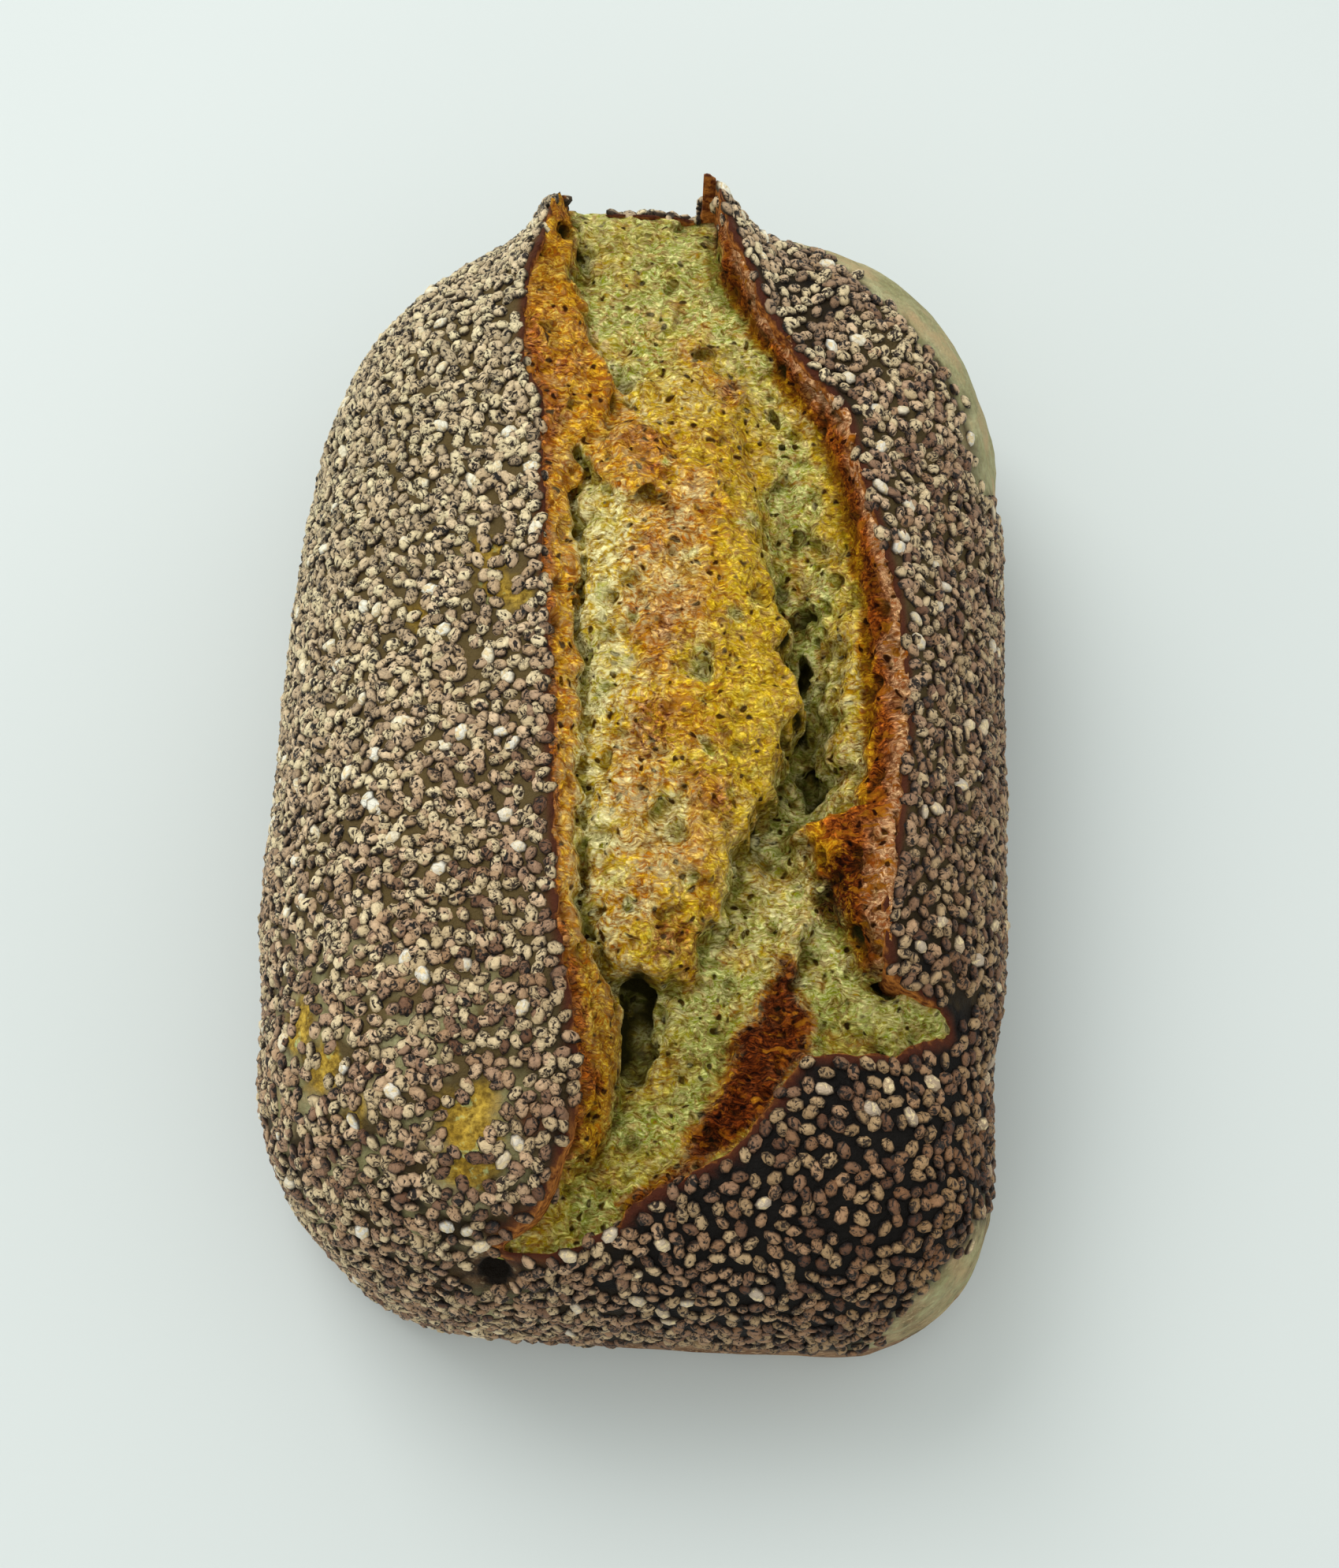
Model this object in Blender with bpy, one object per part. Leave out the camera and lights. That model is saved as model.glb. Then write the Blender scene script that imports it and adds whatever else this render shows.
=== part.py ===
"""Small seeded sourdough loaf in one solid.

A rounded crust dome has split along its length.  The split stands open between a raised
left lip and a raised right lip, both ending in a pointed ear at the far end.  Torn crumb
fills it: a smooth far floor, a blistered central mass, a deep right valley and a low near
band that runs out under the left flap.  Chia seeds cover the crust.

The loaf rests on z = 0, its length runs along Y with the ears at +Y, and X is its width.
Sizes are in millimetres and become metres where a mesh is made.
"""
import math
import random

import bmesh
import bpy
import numpy as np
from mathutils import Matrix, Vector, noise

METRES_PER_MM = 0.001
RANDOM_SEED = 41

# Plan of the body: a rectangle with four corner radii
HALF_WIDTH = 46.0
HALF_LENGTH = 74.1
CORNER_FAR_RIGHT = 32.0
CORNER_FAR_LEFT = 37.0
CORNER_NEAR_LEFT = 32.0
CORNER_NEAR_RIGHT = 18.5
CORNER_LEAST = 3.0
CORNER_POINTS = 7
LONG_SIDE_POINTS = 8
SHORT_SIDE_POINTS = 3
# Swelling of the long sides: y, left, right
SIDE_SWELL = (
    (60.0, 0.0, 0.0), (42.0, 0.8, 0.2), (27.0, 2.4, 0.9), (12.0, 2.4, 0.9), (0.0, 2.1, 1.1), (-15.0, 1.5, 1.1),
    (-28.0, 1.4, 1.1), (-38.0, 0.2, 0.2), (-70.0, 0.0, 0.0),
)

# Height profile of the body
SHOULDER_START = 14.0
SHOULDER_TOP = 49.0
SHOULDER_DEPTH = 24.0
SHOULDER_EXPONENT = 2.4
SHOULDER_STEPS = 8
FOOT_INSET = 2.6
CENTRE_RISE = 3.0
TOP_INSETS = (31.0, 38.0, 43.0)
# Full, blunt middle of the far end, where the split reaches the rim
BLUNT_X = -4.0
BLUNT_HALF_WIDTH = 21.0
BLUNT_DEPTH_CUT = 9.0
BLUNT_RISE = 1.8
BLUNT_FROM_Y = 30.0
BLUNT_TO_Y = 60.0

# The near right quarter sank when the split opened: depth, and x and y where the sinking starts and ends
SAG_DEPTH = 6.5
SAG_FROM = (-10.0, -22.0)
SAG_TO = (6.0, -46.0)
LUMP_HEIGHT = 0.5
LUMP_LENGTH = 22.0

# Left edge of the split, far to near: y, x, rise above the crust
LEFT_LIP = (
    (67.0, -15.0, 8.5), (63.5, -15.4, 5.6), (60.0, -16.2, 3.8), (54.8, -17.6, 2.4), (48.0, -17.8, 2.0),
    (42.2, -17.2, 1.8), (36.3, -14.6, 1.6), (25.8, -13.8, 1.4), (14.9, -12.7, 1.4), (-0.7, -11.0, 1.4),
    (-15.6, -9.5, 1.4), (-29.1, -8.3, 1.4), (-38.8, -6.3, 1.4), (-48.8, -3.9, 1.2), (-53.0, -4.4, 1.0),
    (-58.8, -5.8, 0.6), (-62.1, -7.0, 0.4), (-65.5, -10.6, 0.1), (-67.5, -12.8, 0.0),
)
# Right edge of the split, where the seeds begin, far to near: y, x, rise above the crust
RIGHT_LIP = (
    (69.2, 5.2, 10.8), (67.4, 5.6, 9.4), (65.0, 6.2, 7.4), (62.0, 7.4, 5.3), (57.5, 9.4, 3.7), (51.7, 12.2, 2.8),
    (47.4, 14.8, 2.2), (43.0, 18.2, 1.8), (36.8, 23.3, 1.5), (27.9, 25.8, 1.3), (12.0, 30.4, 1.3), (-2.0, 32.2, 1.3),
    (-12.3, 31.5, 1.3), (-26.9, 30.0, 1.2), (-33.6, 30.6, 0.8),
)
# Inner edge of the orange face below the left lip: y, x
LEFT_FACE_FOOT = (
    (66.0, -12.6), (57.0, -12.6), (50.0, -10.4), (43.0, -7.6), (37.0, -6.2), (30.0, -9.6), (18.0, -10.0), (8.0, -8.4),
    (-13.0, -7.0), (-28.0, -6.0), (-34.0, -3.6), (-38.5, 0.0), (-46.0, 0.3), (-53.0, -0.6), (-58.0, -3.6),
)
# Inner edge of the brown strip below the right lip: y, x
RIGHT_FACE_FOOT = (
    (65.0, 5.4), (57.0, 6.4), (53.5, 9.0), (48.0, 12.4), (43.0, 15.6), (34.0, 20.8), (23.5, 24.4), (13.0, 26.2),
    (-1.0, 27.3), (-13.5, 26.6), (-16.0, 20.0), (-22.9, 23.9), (-27.4, 25.7), (-31.5, 27.6),
)
# Near boundary of the split, left to right: x, y
NEAR_EDGE = (
    (-6.5, -67.6), (0.5, -64.4), (2.2, -62.2), (7.4, -58.8), (13.5, -55.2), (17.4, -50.3), (21.2, -43.8),
    (31.4, -43.2), (38.4, -39.6),
)
NEAR_RIGHT_CORNER = ((38.0, -37.6), (34.5, -35.6))
FAR_EDGE_Y = 68.0

# Deepest line of the right valley, and heights of its floor and of its right shoulder: y, x, z, z
VALLEY = (
    (71.0, -3.0, 43.0, 43.0), (68.0, -3.0, 45.6, 45.6), (64.0, -2.0, 47.6, 47.4), (52.0, 4.0, 48.2, 48.0),
    (44.0, 12.0, 47.2, 47.6), (36.0, 15.6, 46.0, 47.2), (28.0, 17.0, 44.6, 46.8), (20.0, 18.3, 42.6, 46.4),
    (11.5, 19.1, 40.4, 46.0), (3.0, 20.2, 38.8, 45.6), (-3.0, 20.9, 38.4, 45.2), (-11.0, 21.4, 38.8, 44.2),
    (-17.0, 17.0, 40.4, 42.0), (-26.0, 14.0, 41.2, 41.4), (-34.0, 8.0, 41.0, 40.6), (-45.0, 4.0, 40.6, 40.8),
    (-56.0, 0.0, 41.0, 41.0), (-68.0, -6.0, 39.4, 39.4),
)
# Crest height and right edge of the central mass: y, z, x
MASS = (
    (50.0, 47.2, 3.0), (44.0, 49.2, 8.5), (37.0, 50.6, 11.0), (29.0, 51.8, 12.4), (19.0, 52.0, 13.8),
    (9.0, 52.0, 17.0), (-1.0, 51.8, 19.2), (-10.0, 51.4, 17.2), (-18.3, 50.4, 13.1), (-24.4, 49.4, 12.1),
    (-30.0, 48.2, 9.0), (-35.5, 46.2, 6.6),
)
MASS_NEAR_Y = -35.8
MASS_EDGE_WIDTH = 1.0
MASS_FAR_EDGE_WIDTH = 4.5
MASS_CROWN = 2.6
# Soft dips in the crumb: centre x, y, radii, depth
DIPS = ((1.6, -41.0, 3.4, 8.5, 2.6), (21.2, -8.5, 2.4, 5.5, 1.6), (30.6, -34.0, 3.0, 2.4, 1.4))
# Raised torn ridges on the crumb: start x, y, end x, y, width, height
RIDGES = (
    (2.0, 47.5, 10.4, 40.5, 1.7, 1.4), (22.6, -23.6, 19.7, -28.3, 1.7, 1.6), (19.7, -28.3, 19.0, -34.0, 1.7, 1.8),
)
# Torn flap that runs from the left face onto the mass: x, y
FLAP = (
    (-9.5, 46.0), (-6.9, 41.2), (-4.0, 37.0), (-0.2, 32.6), (2.5, 28.2), (1.6, 25.0), (-2.8, 23.2), (-7.5, 27.0),
    (-9.5, 34.0),
)
FLAP_RISE = 1.2
# How far the torn faces beside the lips drop away from the crust
LEFT_FACE_DROP = 1.6
LEFT_FACE_NEAR_DROP = 1.2
RIGHT_FACE_DROP_LEAST = 1.5
RIGHT_FACE_DROP_MOST = 6.5
CRUMB_CELL = 2.15
CRUMB_BOTTOM = 28.0
CRUMB_MARGIN = 2.0
CRUMB_ROUGHNESS = 0.7
CRUMB_LUMP_LENGTH = 4.0
CRUMB_CLEARANCE = 0.6
CRUMB_STANDS_OUT = 0.4

# Lips: how far the flap reaches back over the crust, its thickness and depth, and its pointed ear
LIP_REACH = 6.0
LIP_THICKNESS = 2.2
LIP_DEPTH = 7.0
LIP_SINK = 0.3
EAR_LENGTH = 9.0
EAR_TIP_SIZE = 0.2

# Torn hollows in the crumb: centre x, y, z and radii
HOLLOWS = (
    ((19.0, 12.8, 39.8), (2.4, 1.6, 2.4)),
    ((20.0, 2.5, 37.8), (1.4, 6.5, 2.6)),
    ((21.4, -8.8, 37.6), (2.0, 4.0, 2.8)),
    ((1.3, -40.5, 39.2), (2.3, 6.6, 3.2)),
    ((31.2, -33.6, 40.4), (2.0, 2.2, 3.2)),
    ((7.3, 1.2, 51.6), (2.5, 2.3, 1.6)),
    ((4.4, -17.3, 50.8), (3.2, 3.2, 1.8)),
)
# Open bubble in the near left crust: centre and radii
CRUST_HOLE = ((-13.3, -69.3, 37.0), (2.0, 2.0, 2.3))
CRUST_HOLE_CLEARANCE = 4.2

# Bare crust on the far right shoulder, x and inset, and at the near right corner, x and highest z
BARE_INSET_FAR = (
    (6.0, 1.5), (10.0, 4.0), (14.0, 5.5), (20.0, 7.0), (23.0, 8.0), (28.0, 9.0), (33.0, 8.0), (39.5, 5.0), (43.0, 3.5),
    (47.0, 2.0),
)
BARE_LIMIT_NEAR = ((30.0, 12.0), (34.9, 30.0), (39.5, 30.0), (43.1, 27.0), (46.0, 20.0))

# Chia seeds, the largest ones
SEED_LENGTH = 2.7
SEED_WIDTH = 1.9
SEED_THICKNESS = 1.6
SEED_SINK = 0.25
SEED_COUNT = 190
SEED_SPACING = 6.4
SEED_SEGMENTS = 6
SEED_RINGS = 3
SEED_TRIES = 9000
SEED_LOWEST = 5.0

CRUST_COLOUR = (0.130, 0.095, 0.060, 1.0)
CRUST_ROUGHNESS = 0.75


def smooth_step(start, end, value):
    """Ease from 0 at start to 1 at end."""
    t = np.clip((value - start) / (end - start), 0.0, 1.0)
    return t * t * (3.0 - 2.0 * t)


def along(y, table, column=1):
    """Value at y of a table whose rows start with y, far to near."""
    rows = table[::-1]
    return np.interp(y, [row[0] for row in rows], [row[column] for row in rows])


def lumps(x, y, z, length, layer):
    """Smooth random relief between about -1 and 1."""
    return noise.noise(Vector((x / length, y / length, z / length + 17.0 * layer)))


def mesh_object(name, vertices, faces):
    """Object with a mesh built from millimetre points."""
    mesh = bpy.data.meshes.new(name)
    mesh.from_pydata([tuple(METRES_PER_MM * c for c in v) for v in vertices], [], faces)
    mesh.validate()
    obj = bpy.data.objects.new(name, mesh)
    bpy.context.scene.collection.objects.link(obj)
    face_outwards(obj)
    return obj


def face_outwards(obj):
    """Point every face away from the solid."""
    work = bmesh.new()
    work.from_mesh(obj.data)
    bmesh.ops.recalc_face_normals(work, faces=work.faces)
    work.to_mesh(obj.data)
    work.free()


def boolean(target, operation, operand_objects):
    """Apply one Boolean of target with a group of objects, then remove the group."""
    group = bpy.data.collections.new("operands")
    bpy.context.scene.collection.children.link(group)
    for obj in operand_objects:
        group.objects.link(obj)
    modifier = target.modifiers.new(operation.title(), "BOOLEAN")
    modifier.operation = operation
    modifier.operand_type = "COLLECTION"
    modifier.collection = group
    modifier.solver = "MANIFOLD"
    apply_modifiers(target)
    for obj in list(group.objects):
        bpy.data.objects.remove(obj, do_unlink=True)
    bpy.data.collections.remove(group)


def apply_modifiers(obj):
    """Replace the mesh by its result after all modifiers."""
    evaluated = obj.evaluated_get(bpy.context.evaluated_depsgraph_get())
    result = bpy.data.meshes.new_from_object(evaluated)
    obj.modifiers.clear()
    old = obj.data
    obj.data = result
    bpy.data.meshes.remove(old)


def keep_main_shell(obj):
    """Keep the largest connected shell, which fills sealed gaps and drops loose scraps."""
    work = bmesh.new()
    work.from_mesh(obj.data)
    waiting = set(work.verts)
    shells = []
    while waiting:
        shell = set()
        edge_of_shell = [next(iter(waiting))]
        while edge_of_shell:
            vertex = edge_of_shell.pop()
            if vertex in shell:
                continue
            shell.add(vertex)
            edge_of_shell.extend(edge.other_vert(vertex) for edge in vertex.link_edges)
        waiting -= shell
        shells.append(shell)
    largest = max(shells, key=len)
    bmesh.ops.delete(work, geom=[v for v in work.verts if v not in largest], context="VERTS")
    bmesh.ops.triangulate(work, faces=work.faces)
    work.to_mesh(obj.data)
    work.free()


def side_swell(x, y):
    """How far the long side on the side of x bulges outwards."""
    return np.where(x > 0.0, along(y, SIDE_SWELL, 2), along(y, SIDE_SWELL, 1))


def plan_outline(inset):
    """Points of the body's plan at an inset from its edge, anticlockwise from the far right corner."""
    half_width = HALF_WIDTH - inset
    half_length = HALF_LENGTH - inset
    corners = (
        (1, 1, CORNER_FAR_RIGHT, SHORT_SIDE_POINTS),
        (-1, 1, CORNER_FAR_LEFT, LONG_SIDE_POINTS),
        (-1, -1, CORNER_NEAR_LEFT, SHORT_SIDE_POINTS),
        (1, -1, CORNER_NEAR_RIGHT, LONG_SIDE_POINTS),
    )
    arcs = []
    for index, (side_x, side_y, radius, side_points) in enumerate(corners):
        radius = min(max(radius - inset, CORNER_LEAST), half_width * 0.95)
        centre_x = side_x * (half_width - radius)
        centre_y = side_y * (half_length - radius)
        arc = []
        for step in range(CORNER_POINTS):
            angle = math.radians(90.0 * (index + step / (CORNER_POINTS - 1)))
            arc.append((centre_x + radius * math.cos(angle), centre_y + radius * math.sin(angle)))
        arcs.append((arc, side_points))
    points = []
    for index, (arc, side_points) in enumerate(arcs):
        following = arcs[(index + 1) % 4][0][0]
        points.extend(arc)
        for step in range(1, side_points + 1):
            part = step / (side_points + 1)
            points.append((
                arc[-1][0] + part * (following[0] - arc[-1][0]),
                arc[-1][1] + part * (following[1] - arc[-1][1]),
            ))
    return [(x * (1.0 + float(side_swell(x, y)) / HALF_WIDTH), y) for x, y in points]


def plan_inset(x, y):
    """Distance inwards from the edge of the plan."""
    flank = np.abs(x) * HALF_WIDTH / (HALF_WIDTH + side_swell(x, y))
    radius = np.where(
        y > 0.0,
        np.where(x > 0.0, CORNER_FAR_RIGHT, CORNER_FAR_LEFT),
        np.where(x > 0.0, CORNER_NEAR_RIGHT, CORNER_NEAR_LEFT),
    )
    over_x = flank - (HALF_WIDTH - radius)
    over_y = np.abs(y) - (HALF_LENGTH - radius)
    outside = np.hypot(np.maximum(over_x, 0.0), np.maximum(over_y, 0.0))
    return radius - outside - np.minimum(np.maximum(over_x, over_y), 0.0)


def bluntness(x, y):
    """Share of the full middle of the far end, 0 elsewhere."""
    across = np.clip(1.0 - ((x - BLUNT_X) / BLUNT_HALF_WIDTH) ** 2, 0.0, 1.0)
    return across ** 1.5 * smooth_step(BLUNT_FROM_Y, BLUNT_TO_Y, y)


def top_change(x, y):
    """Rise of the dome towards its middle less the sag of the near right quarter."""
    rise = CENTRE_RISE * (1.0 - (x / HALF_WIDTH) ** 2) * (1.0 - (y / HALF_LENGTH) ** 2)
    sag = SAG_DEPTH * smooth_step(SAG_FROM[1], SAG_TO[1], y) * smooth_step(SAG_FROM[0], SAG_TO[0], x)
    return rise - sag + BLUNT_RISE * bluntness(x, y)


def shoulder_share(x, y, inset):
    """Share of the shoulder's height reached at an inset from the edge of the plan."""
    depth = SHOULDER_DEPTH - BLUNT_DEPTH_CUT * bluntness(x, y)
    drop = np.clip(1.0 - inset / depth, 0.0, 1.0) ** SHOULDER_EXPONENT
    return (1.0 - drop) ** (1.0 / SHOULDER_EXPONENT)


def height_at_share(x, y, share, lump=0.0):
    """Height of the crust where the shoulder has reached a share of its height."""
    height = SHOULDER_START + share * (SHOULDER_TOP - SHOULDER_START)
    return height + (top_change(x, y) + lump) * share ** 2


def crust_height(x, y):
    """Height of the crust's top surface."""
    return height_at_share(x, y, shoulder_share(x, y, np.maximum(plan_inset(x, y), 0.0)))


def foot_rings():
    """Insets and heights of the rings below the shoulder."""
    return [(FOOT_INSET + 4.0, 0.0), (FOOT_INSET, 0.8), (0.8, 6.0)]


def shoulder_insets():
    """Insets of the rings from the shoulder's start to the crown."""
    angles = [math.radians(90.0 * step / SHOULDER_STEPS) for step in range(SHOULDER_STEPS + 1)]
    curve = [SHOULDER_DEPTH * (1.0 - math.cos(angle) ** (2.0 / SHOULDER_EXPONENT)) for angle in angles]
    return curve + list(TOP_INSETS)


def make_body():
    """Closed dome built up ring by ring."""
    vertices = []
    for inset, height in foot_rings():
        vertices.extend((x, y, height) for x, y in plan_outline(inset))
    for inset in shoulder_insets():
        for x, y in plan_outline(inset):
            share = float(shoulder_share(x, y, inset))
            lump = LUMP_HEIGHT * lumps(x, y, SHOULDER_TOP * share, LUMP_LENGTH, 0)
            reach = 1.0 + lump * (1.0 - share) / math.hypot(x, y)
            vertices.append((x * reach, y * reach, float(height_at_share(x, y, share, lump))))
    ring_count = len(foot_rings()) + len(shoulder_insets())
    count = len(vertices) // ring_count
    faces = [list(range(count - 1, -1, -1))]
    for ring in range(ring_count - 1):
        start = ring * count
        for i in range(count):
            j = (i + 1) % count
            faces.append([start + i, start + j, start + count + j, start + count + i])
    faces.append(list(range((ring_count - 1) * count, ring_count * count)))
    return mesh_object("loaf", vertices, faces)


def split_outline():
    """Plan of the split, anticlockwise from its far left end."""
    left = [(x, y) for y, x, _ in LEFT_LIP]
    right = [(x, y) for y, x, _ in reversed(RIGHT_LIP)]
    far = [(right[-1][0], FAR_EDGE_Y), (left[0][0], FAR_EDGE_Y)]
    return left + list(NEAR_EDGE) + list(NEAR_RIGHT_CORNER) + right + far


def make_split_cutter():
    """Upright prism that opens the crust along the split."""
    outline = split_outline()
    count = len(outline)
    top = SHOULDER_TOP + 25.0
    vertices = [(x, y, CRUMB_BOTTOM + 4.0) for x, y in outline] + [(x, y, top) for x, y in outline]
    faces = [list(range(count)), list(range(count, 2 * count))]
    for i in range(count):
        j = (i + 1) % count
        faces.append([i, j, count + j, count + i])
    cutter = mesh_object("split cutter", vertices, faces)
    cutter.hide_render = True
    cutter.display_type = "WIRE"
    return cutter


def segment_distance(x, y, x1, y1, x2, y2):
    """Distance to a straight segment."""
    run_x = x2 - x1
    run_y = y2 - y1
    part = np.clip(((x - x1) * run_x + (y - y1) * run_y) / (run_x ** 2 + run_y ** 2), 0.0, 1.0)
    return np.hypot(x - x1 - part * run_x, y - y1 - part * run_y)


def floor_height(x, y):
    """Height of the crumb floor: highest far away, sinking into the right valley."""
    valley_x = along(y, VALLEY)
    floor = along(y, VALLEY, 2)
    shoulder = along(y, VALLEY, 3)
    right_foot = along(y, RIGHT_FACE_FOOT)
    climb = smooth_step(0.0, 1.0, (x - valley_x - 0.6) / np.maximum(right_foot - valley_x - 0.6, 1.0))
    height = floor + (shoulder - floor) * climb ** 0.7
    for centre_x, centre_y, radius_x, radius_y, depth in DIPS:
        reach = ((x - centre_x) / radius_x) ** 2 + ((y - centre_y) / radius_y) ** 2
        height = height - depth * np.exp(-1.4 * reach)
    return height


def crumb_height(x, y):
    """Height of the torn crumb inside the split."""
    left_lip = along(y, LEFT_LIP)
    left_foot = along(y, LEFT_FACE_FOOT)
    right_foot = along(y, RIGHT_FACE_FOOT)
    right_lip = along(y, RIGHT_LIP)
    crust = crust_height(x, y)
    height = floor_height(x, y)

    mass_right = along(y, MASS, 2)
    mass_left = left_foot + 0.3
    middle = 0.5 * (mass_left + mass_right)
    half = 0.5 * (mass_right - mass_left)
    bulge = along(y, MASS) - MASS_CROWN * ((x - middle) / half) ** 2
    edge_width = MASS_EDGE_WIDTH + MASS_FAR_EDGE_WIDTH * smooth_step(10.0, 30.0, y)
    inside = smooth_step(mass_right + edge_width, mass_right - edge_width, x)
    inside = inside * smooth_step(MASS_NEAR_Y - 1.0, MASS_NEAR_Y + 1.0, y) * smooth_step(52.0, 36.0, y)
    height = height + (np.maximum(bulge, height) - height) * inside
    for x1, y1, x2, y2, width, rise in RIDGES:
        height = height + rise * np.exp(-(segment_distance(x, y, x1, y1, x2, y2) / width) ** 2)
    if in_outline(x, y, list(FLAP)):
        height = height + FLAP_RISE

    share = (x - left_lip) / np.maximum(left_foot - left_lip, 0.5)
    left_face = crust - CRUMB_CLEARANCE - LEFT_FACE_DROP * np.clip(share, 0.0, 1.2) ** 0.8
    left_face = left_face - LEFT_FACE_NEAR_DROP * smooth_step(-30.0, -44.0, y) * np.clip(share, 0.0, 1.0)
    on_left = smooth_step(left_foot + 0.8, left_foot - 0.8, x) * smooth_step(-61.0, -55.0, y)
    height = height + (left_face - height) * on_left

    slope = np.clip((x - right_foot) / np.maximum(right_lip - right_foot, 0.5), 0.0, 1.2)
    fall = crust - CRUMB_CLEARANCE - along(y, VALLEY, 3)
    drop = np.clip(fall, RIGHT_FACE_DROP_LEAST, RIGHT_FACE_DROP_MOST)
    right_face = crust - CRUMB_CLEARANCE - drop * np.clip(1.0 - slope, 0.0, 1.0) ** 1.3
    on_right = smooth_step(right_foot - 0.9, right_foot + 0.7, x) * smooth_step(-34.5, -31.5, y)
    height = height + (right_face - height) * on_right

    in_the_open = left_foot <= x <= right_foot and y > MASS_NEAR_Y
    return np.minimum(height, crust + (CRUMB_STANDS_OUT if in_the_open else -CRUMB_CLEARANCE))


def in_outline(x, y, outline):
    """Whether a plan point lies inside a closed outline."""
    inside = False
    for (x1, y1), (x2, y2) in zip(outline, outline[1:] + outline[:1]):
        if (y1 > y) != (y2 > y) and x < x1 + (y - y1) * (x2 - x1) / (y2 - y1):
            inside = not inside
    return inside


def near_outline(x, y, outline):
    """Whether a plan point lies inside an outline or within the crumb's margin of it."""
    for step in range(8):
        angle = math.radians(45.0 * step)
        if in_outline(x + CRUMB_MARGIN * math.cos(angle), y + CRUMB_MARGIN * math.sin(angle), outline):
            return True
    return in_outline(x, y, outline)


def make_crumb():
    """Block of crumb whose top carries the torn relief; its sides stay inside the crust."""
    outline = split_outline()
    xs = np.arange(-20.0, 43.0, CRUMB_CELL)
    ys = np.arange(-71.0, 73.5, CRUMB_CELL)
    vertices = []
    faces = []
    index = {}

    def corner(column, row, top):
        key = (column, row, top)
        if key not in index:
            x = float(xs[column])
            y = float(ys[row])
            z = CRUMB_BOTTOM
            if top:
                z = float(crumb_height(x, y)) + CRUMB_ROUGHNESS * lumps(x, y, 0.0, CRUMB_LUMP_LENGTH, 1)
            index[key] = len(vertices)
            vertices.append((x, y, z))
        return index[key]

    kept = {
        (i, j)
        for i in range(len(xs) - 1)
        for j in range(len(ys) - 1)
        if near_outline(xs[i] + CRUMB_CELL / 2.0, ys[j] + CRUMB_CELL / 2.0, outline)
    }
    for i, j in sorted(kept):
        around = ((i, j), (i + 1, j), (i + 1, j + 1), (i, j + 1))
        faces.append([corner(a, b, True) for a, b in around])
        faces.append([corner(a, b, False) for a, b in reversed(around)])
        neighbours = ((i, j - 1), (i + 1, j), (i, j + 1), (i - 1, j))
        for side, neighbour in enumerate(neighbours):
            if neighbour not in kept:
                first = around[side]
                second = around[(side + 1) % 4]
                faces.append([corner(*first, False), corner(*second, False), corner(*second, True), corner(*first, True)])
    return mesh_object("crumb", vertices, faces)


def make_lip(name, line, side):
    """Raised torn flap along one edge of the split; side is the direction away from the split."""
    vertices = []
    for y, x, rise in line:
        crest = Vector((x, y, float(crust_height(x, y)) + rise))
        back_x = x + side * LIP_REACH
        back_z = float(crust_height(back_x, y)) - LIP_SINK
        middle_z = 0.55 * crest.z + 0.45 * back_z
        section = (
            crest,
            Vector((x + side * 0.45 * LIP_REACH, y, middle_z)),
            Vector((back_x, y, back_z)),
            Vector((back_x, y, back_z - LIP_DEPTH)),
            Vector((x + side * 0.3 * LIP_THICKNESS, y, crest.z - LIP_DEPTH - rise)),
            Vector((x - side * 0.25 * LIP_THICKNESS, y, crest.z - LIP_THICKNESS)),
        )
        taper = min(1.0, EAR_TIP_SIZE + (line[0][0] - y) / EAR_LENGTH)
        vertices.extend(crest.lerp(point, taper) for point in section)
    count = 6
    faces = [list(range(count)), list(range(len(vertices) - count, len(vertices)))]
    for section in range(len(line) - 1):
        start = section * count
        for i in range(count):
            j = (i + 1) % count
            faces.append([start + i, start + j, start + count + j, start + count + i])
    return mesh_object(name, vertices, faces)


def make_hollow(number, centre, radii):
    """Rounded cutter for one torn hollow."""
    work = bmesh.new()
    bmesh.ops.create_icosphere(work, subdivisions=2, radius=METRES_PER_MM)
    bmesh.ops.scale(work, vec=Vector(radii), verts=work.verts)
    bmesh.ops.translate(work, vec=Vector(centre) * METRES_PER_MM, verts=work.verts)
    mesh = bpy.data.meshes.new(f"hollow cutter {number}")
    work.to_mesh(mesh)
    work.free()
    cutter = bpy.data.objects.new(mesh.name, mesh)
    cutter.hide_render = True
    cutter.display_type = "WIRE"
    bpy.context.scene.collection.objects.link(cutter)
    return cutter


def has_seeds(point):
    """Whether the crust carries seeds at a point; a far right band and the near right foot are bare."""
    x, y, z = point
    if z < SEED_LOWEST or (Vector(point) - Vector(CRUST_HOLE[0])).length < CRUST_HOLE_CLEARANCE:
        return False
    far_limit = np.interp(x, [row[0] for row in BARE_INSET_FAR], [row[1] for row in BARE_INSET_FAR])
    if x > 5.0 and y > 35.0 and plan_inset(x, y) < far_limit:
        return False
    near_limit = np.interp(x, [row[0] for row in BARE_LIMIT_NEAR], [row[1] for row in BARE_LIMIT_NEAR])
    if x > 30.0 and y < -55.0 and z < near_limit:
        return False
    return not near_outline(x, y, split_outline()) or z < CRUMB_BOTTOM


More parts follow.
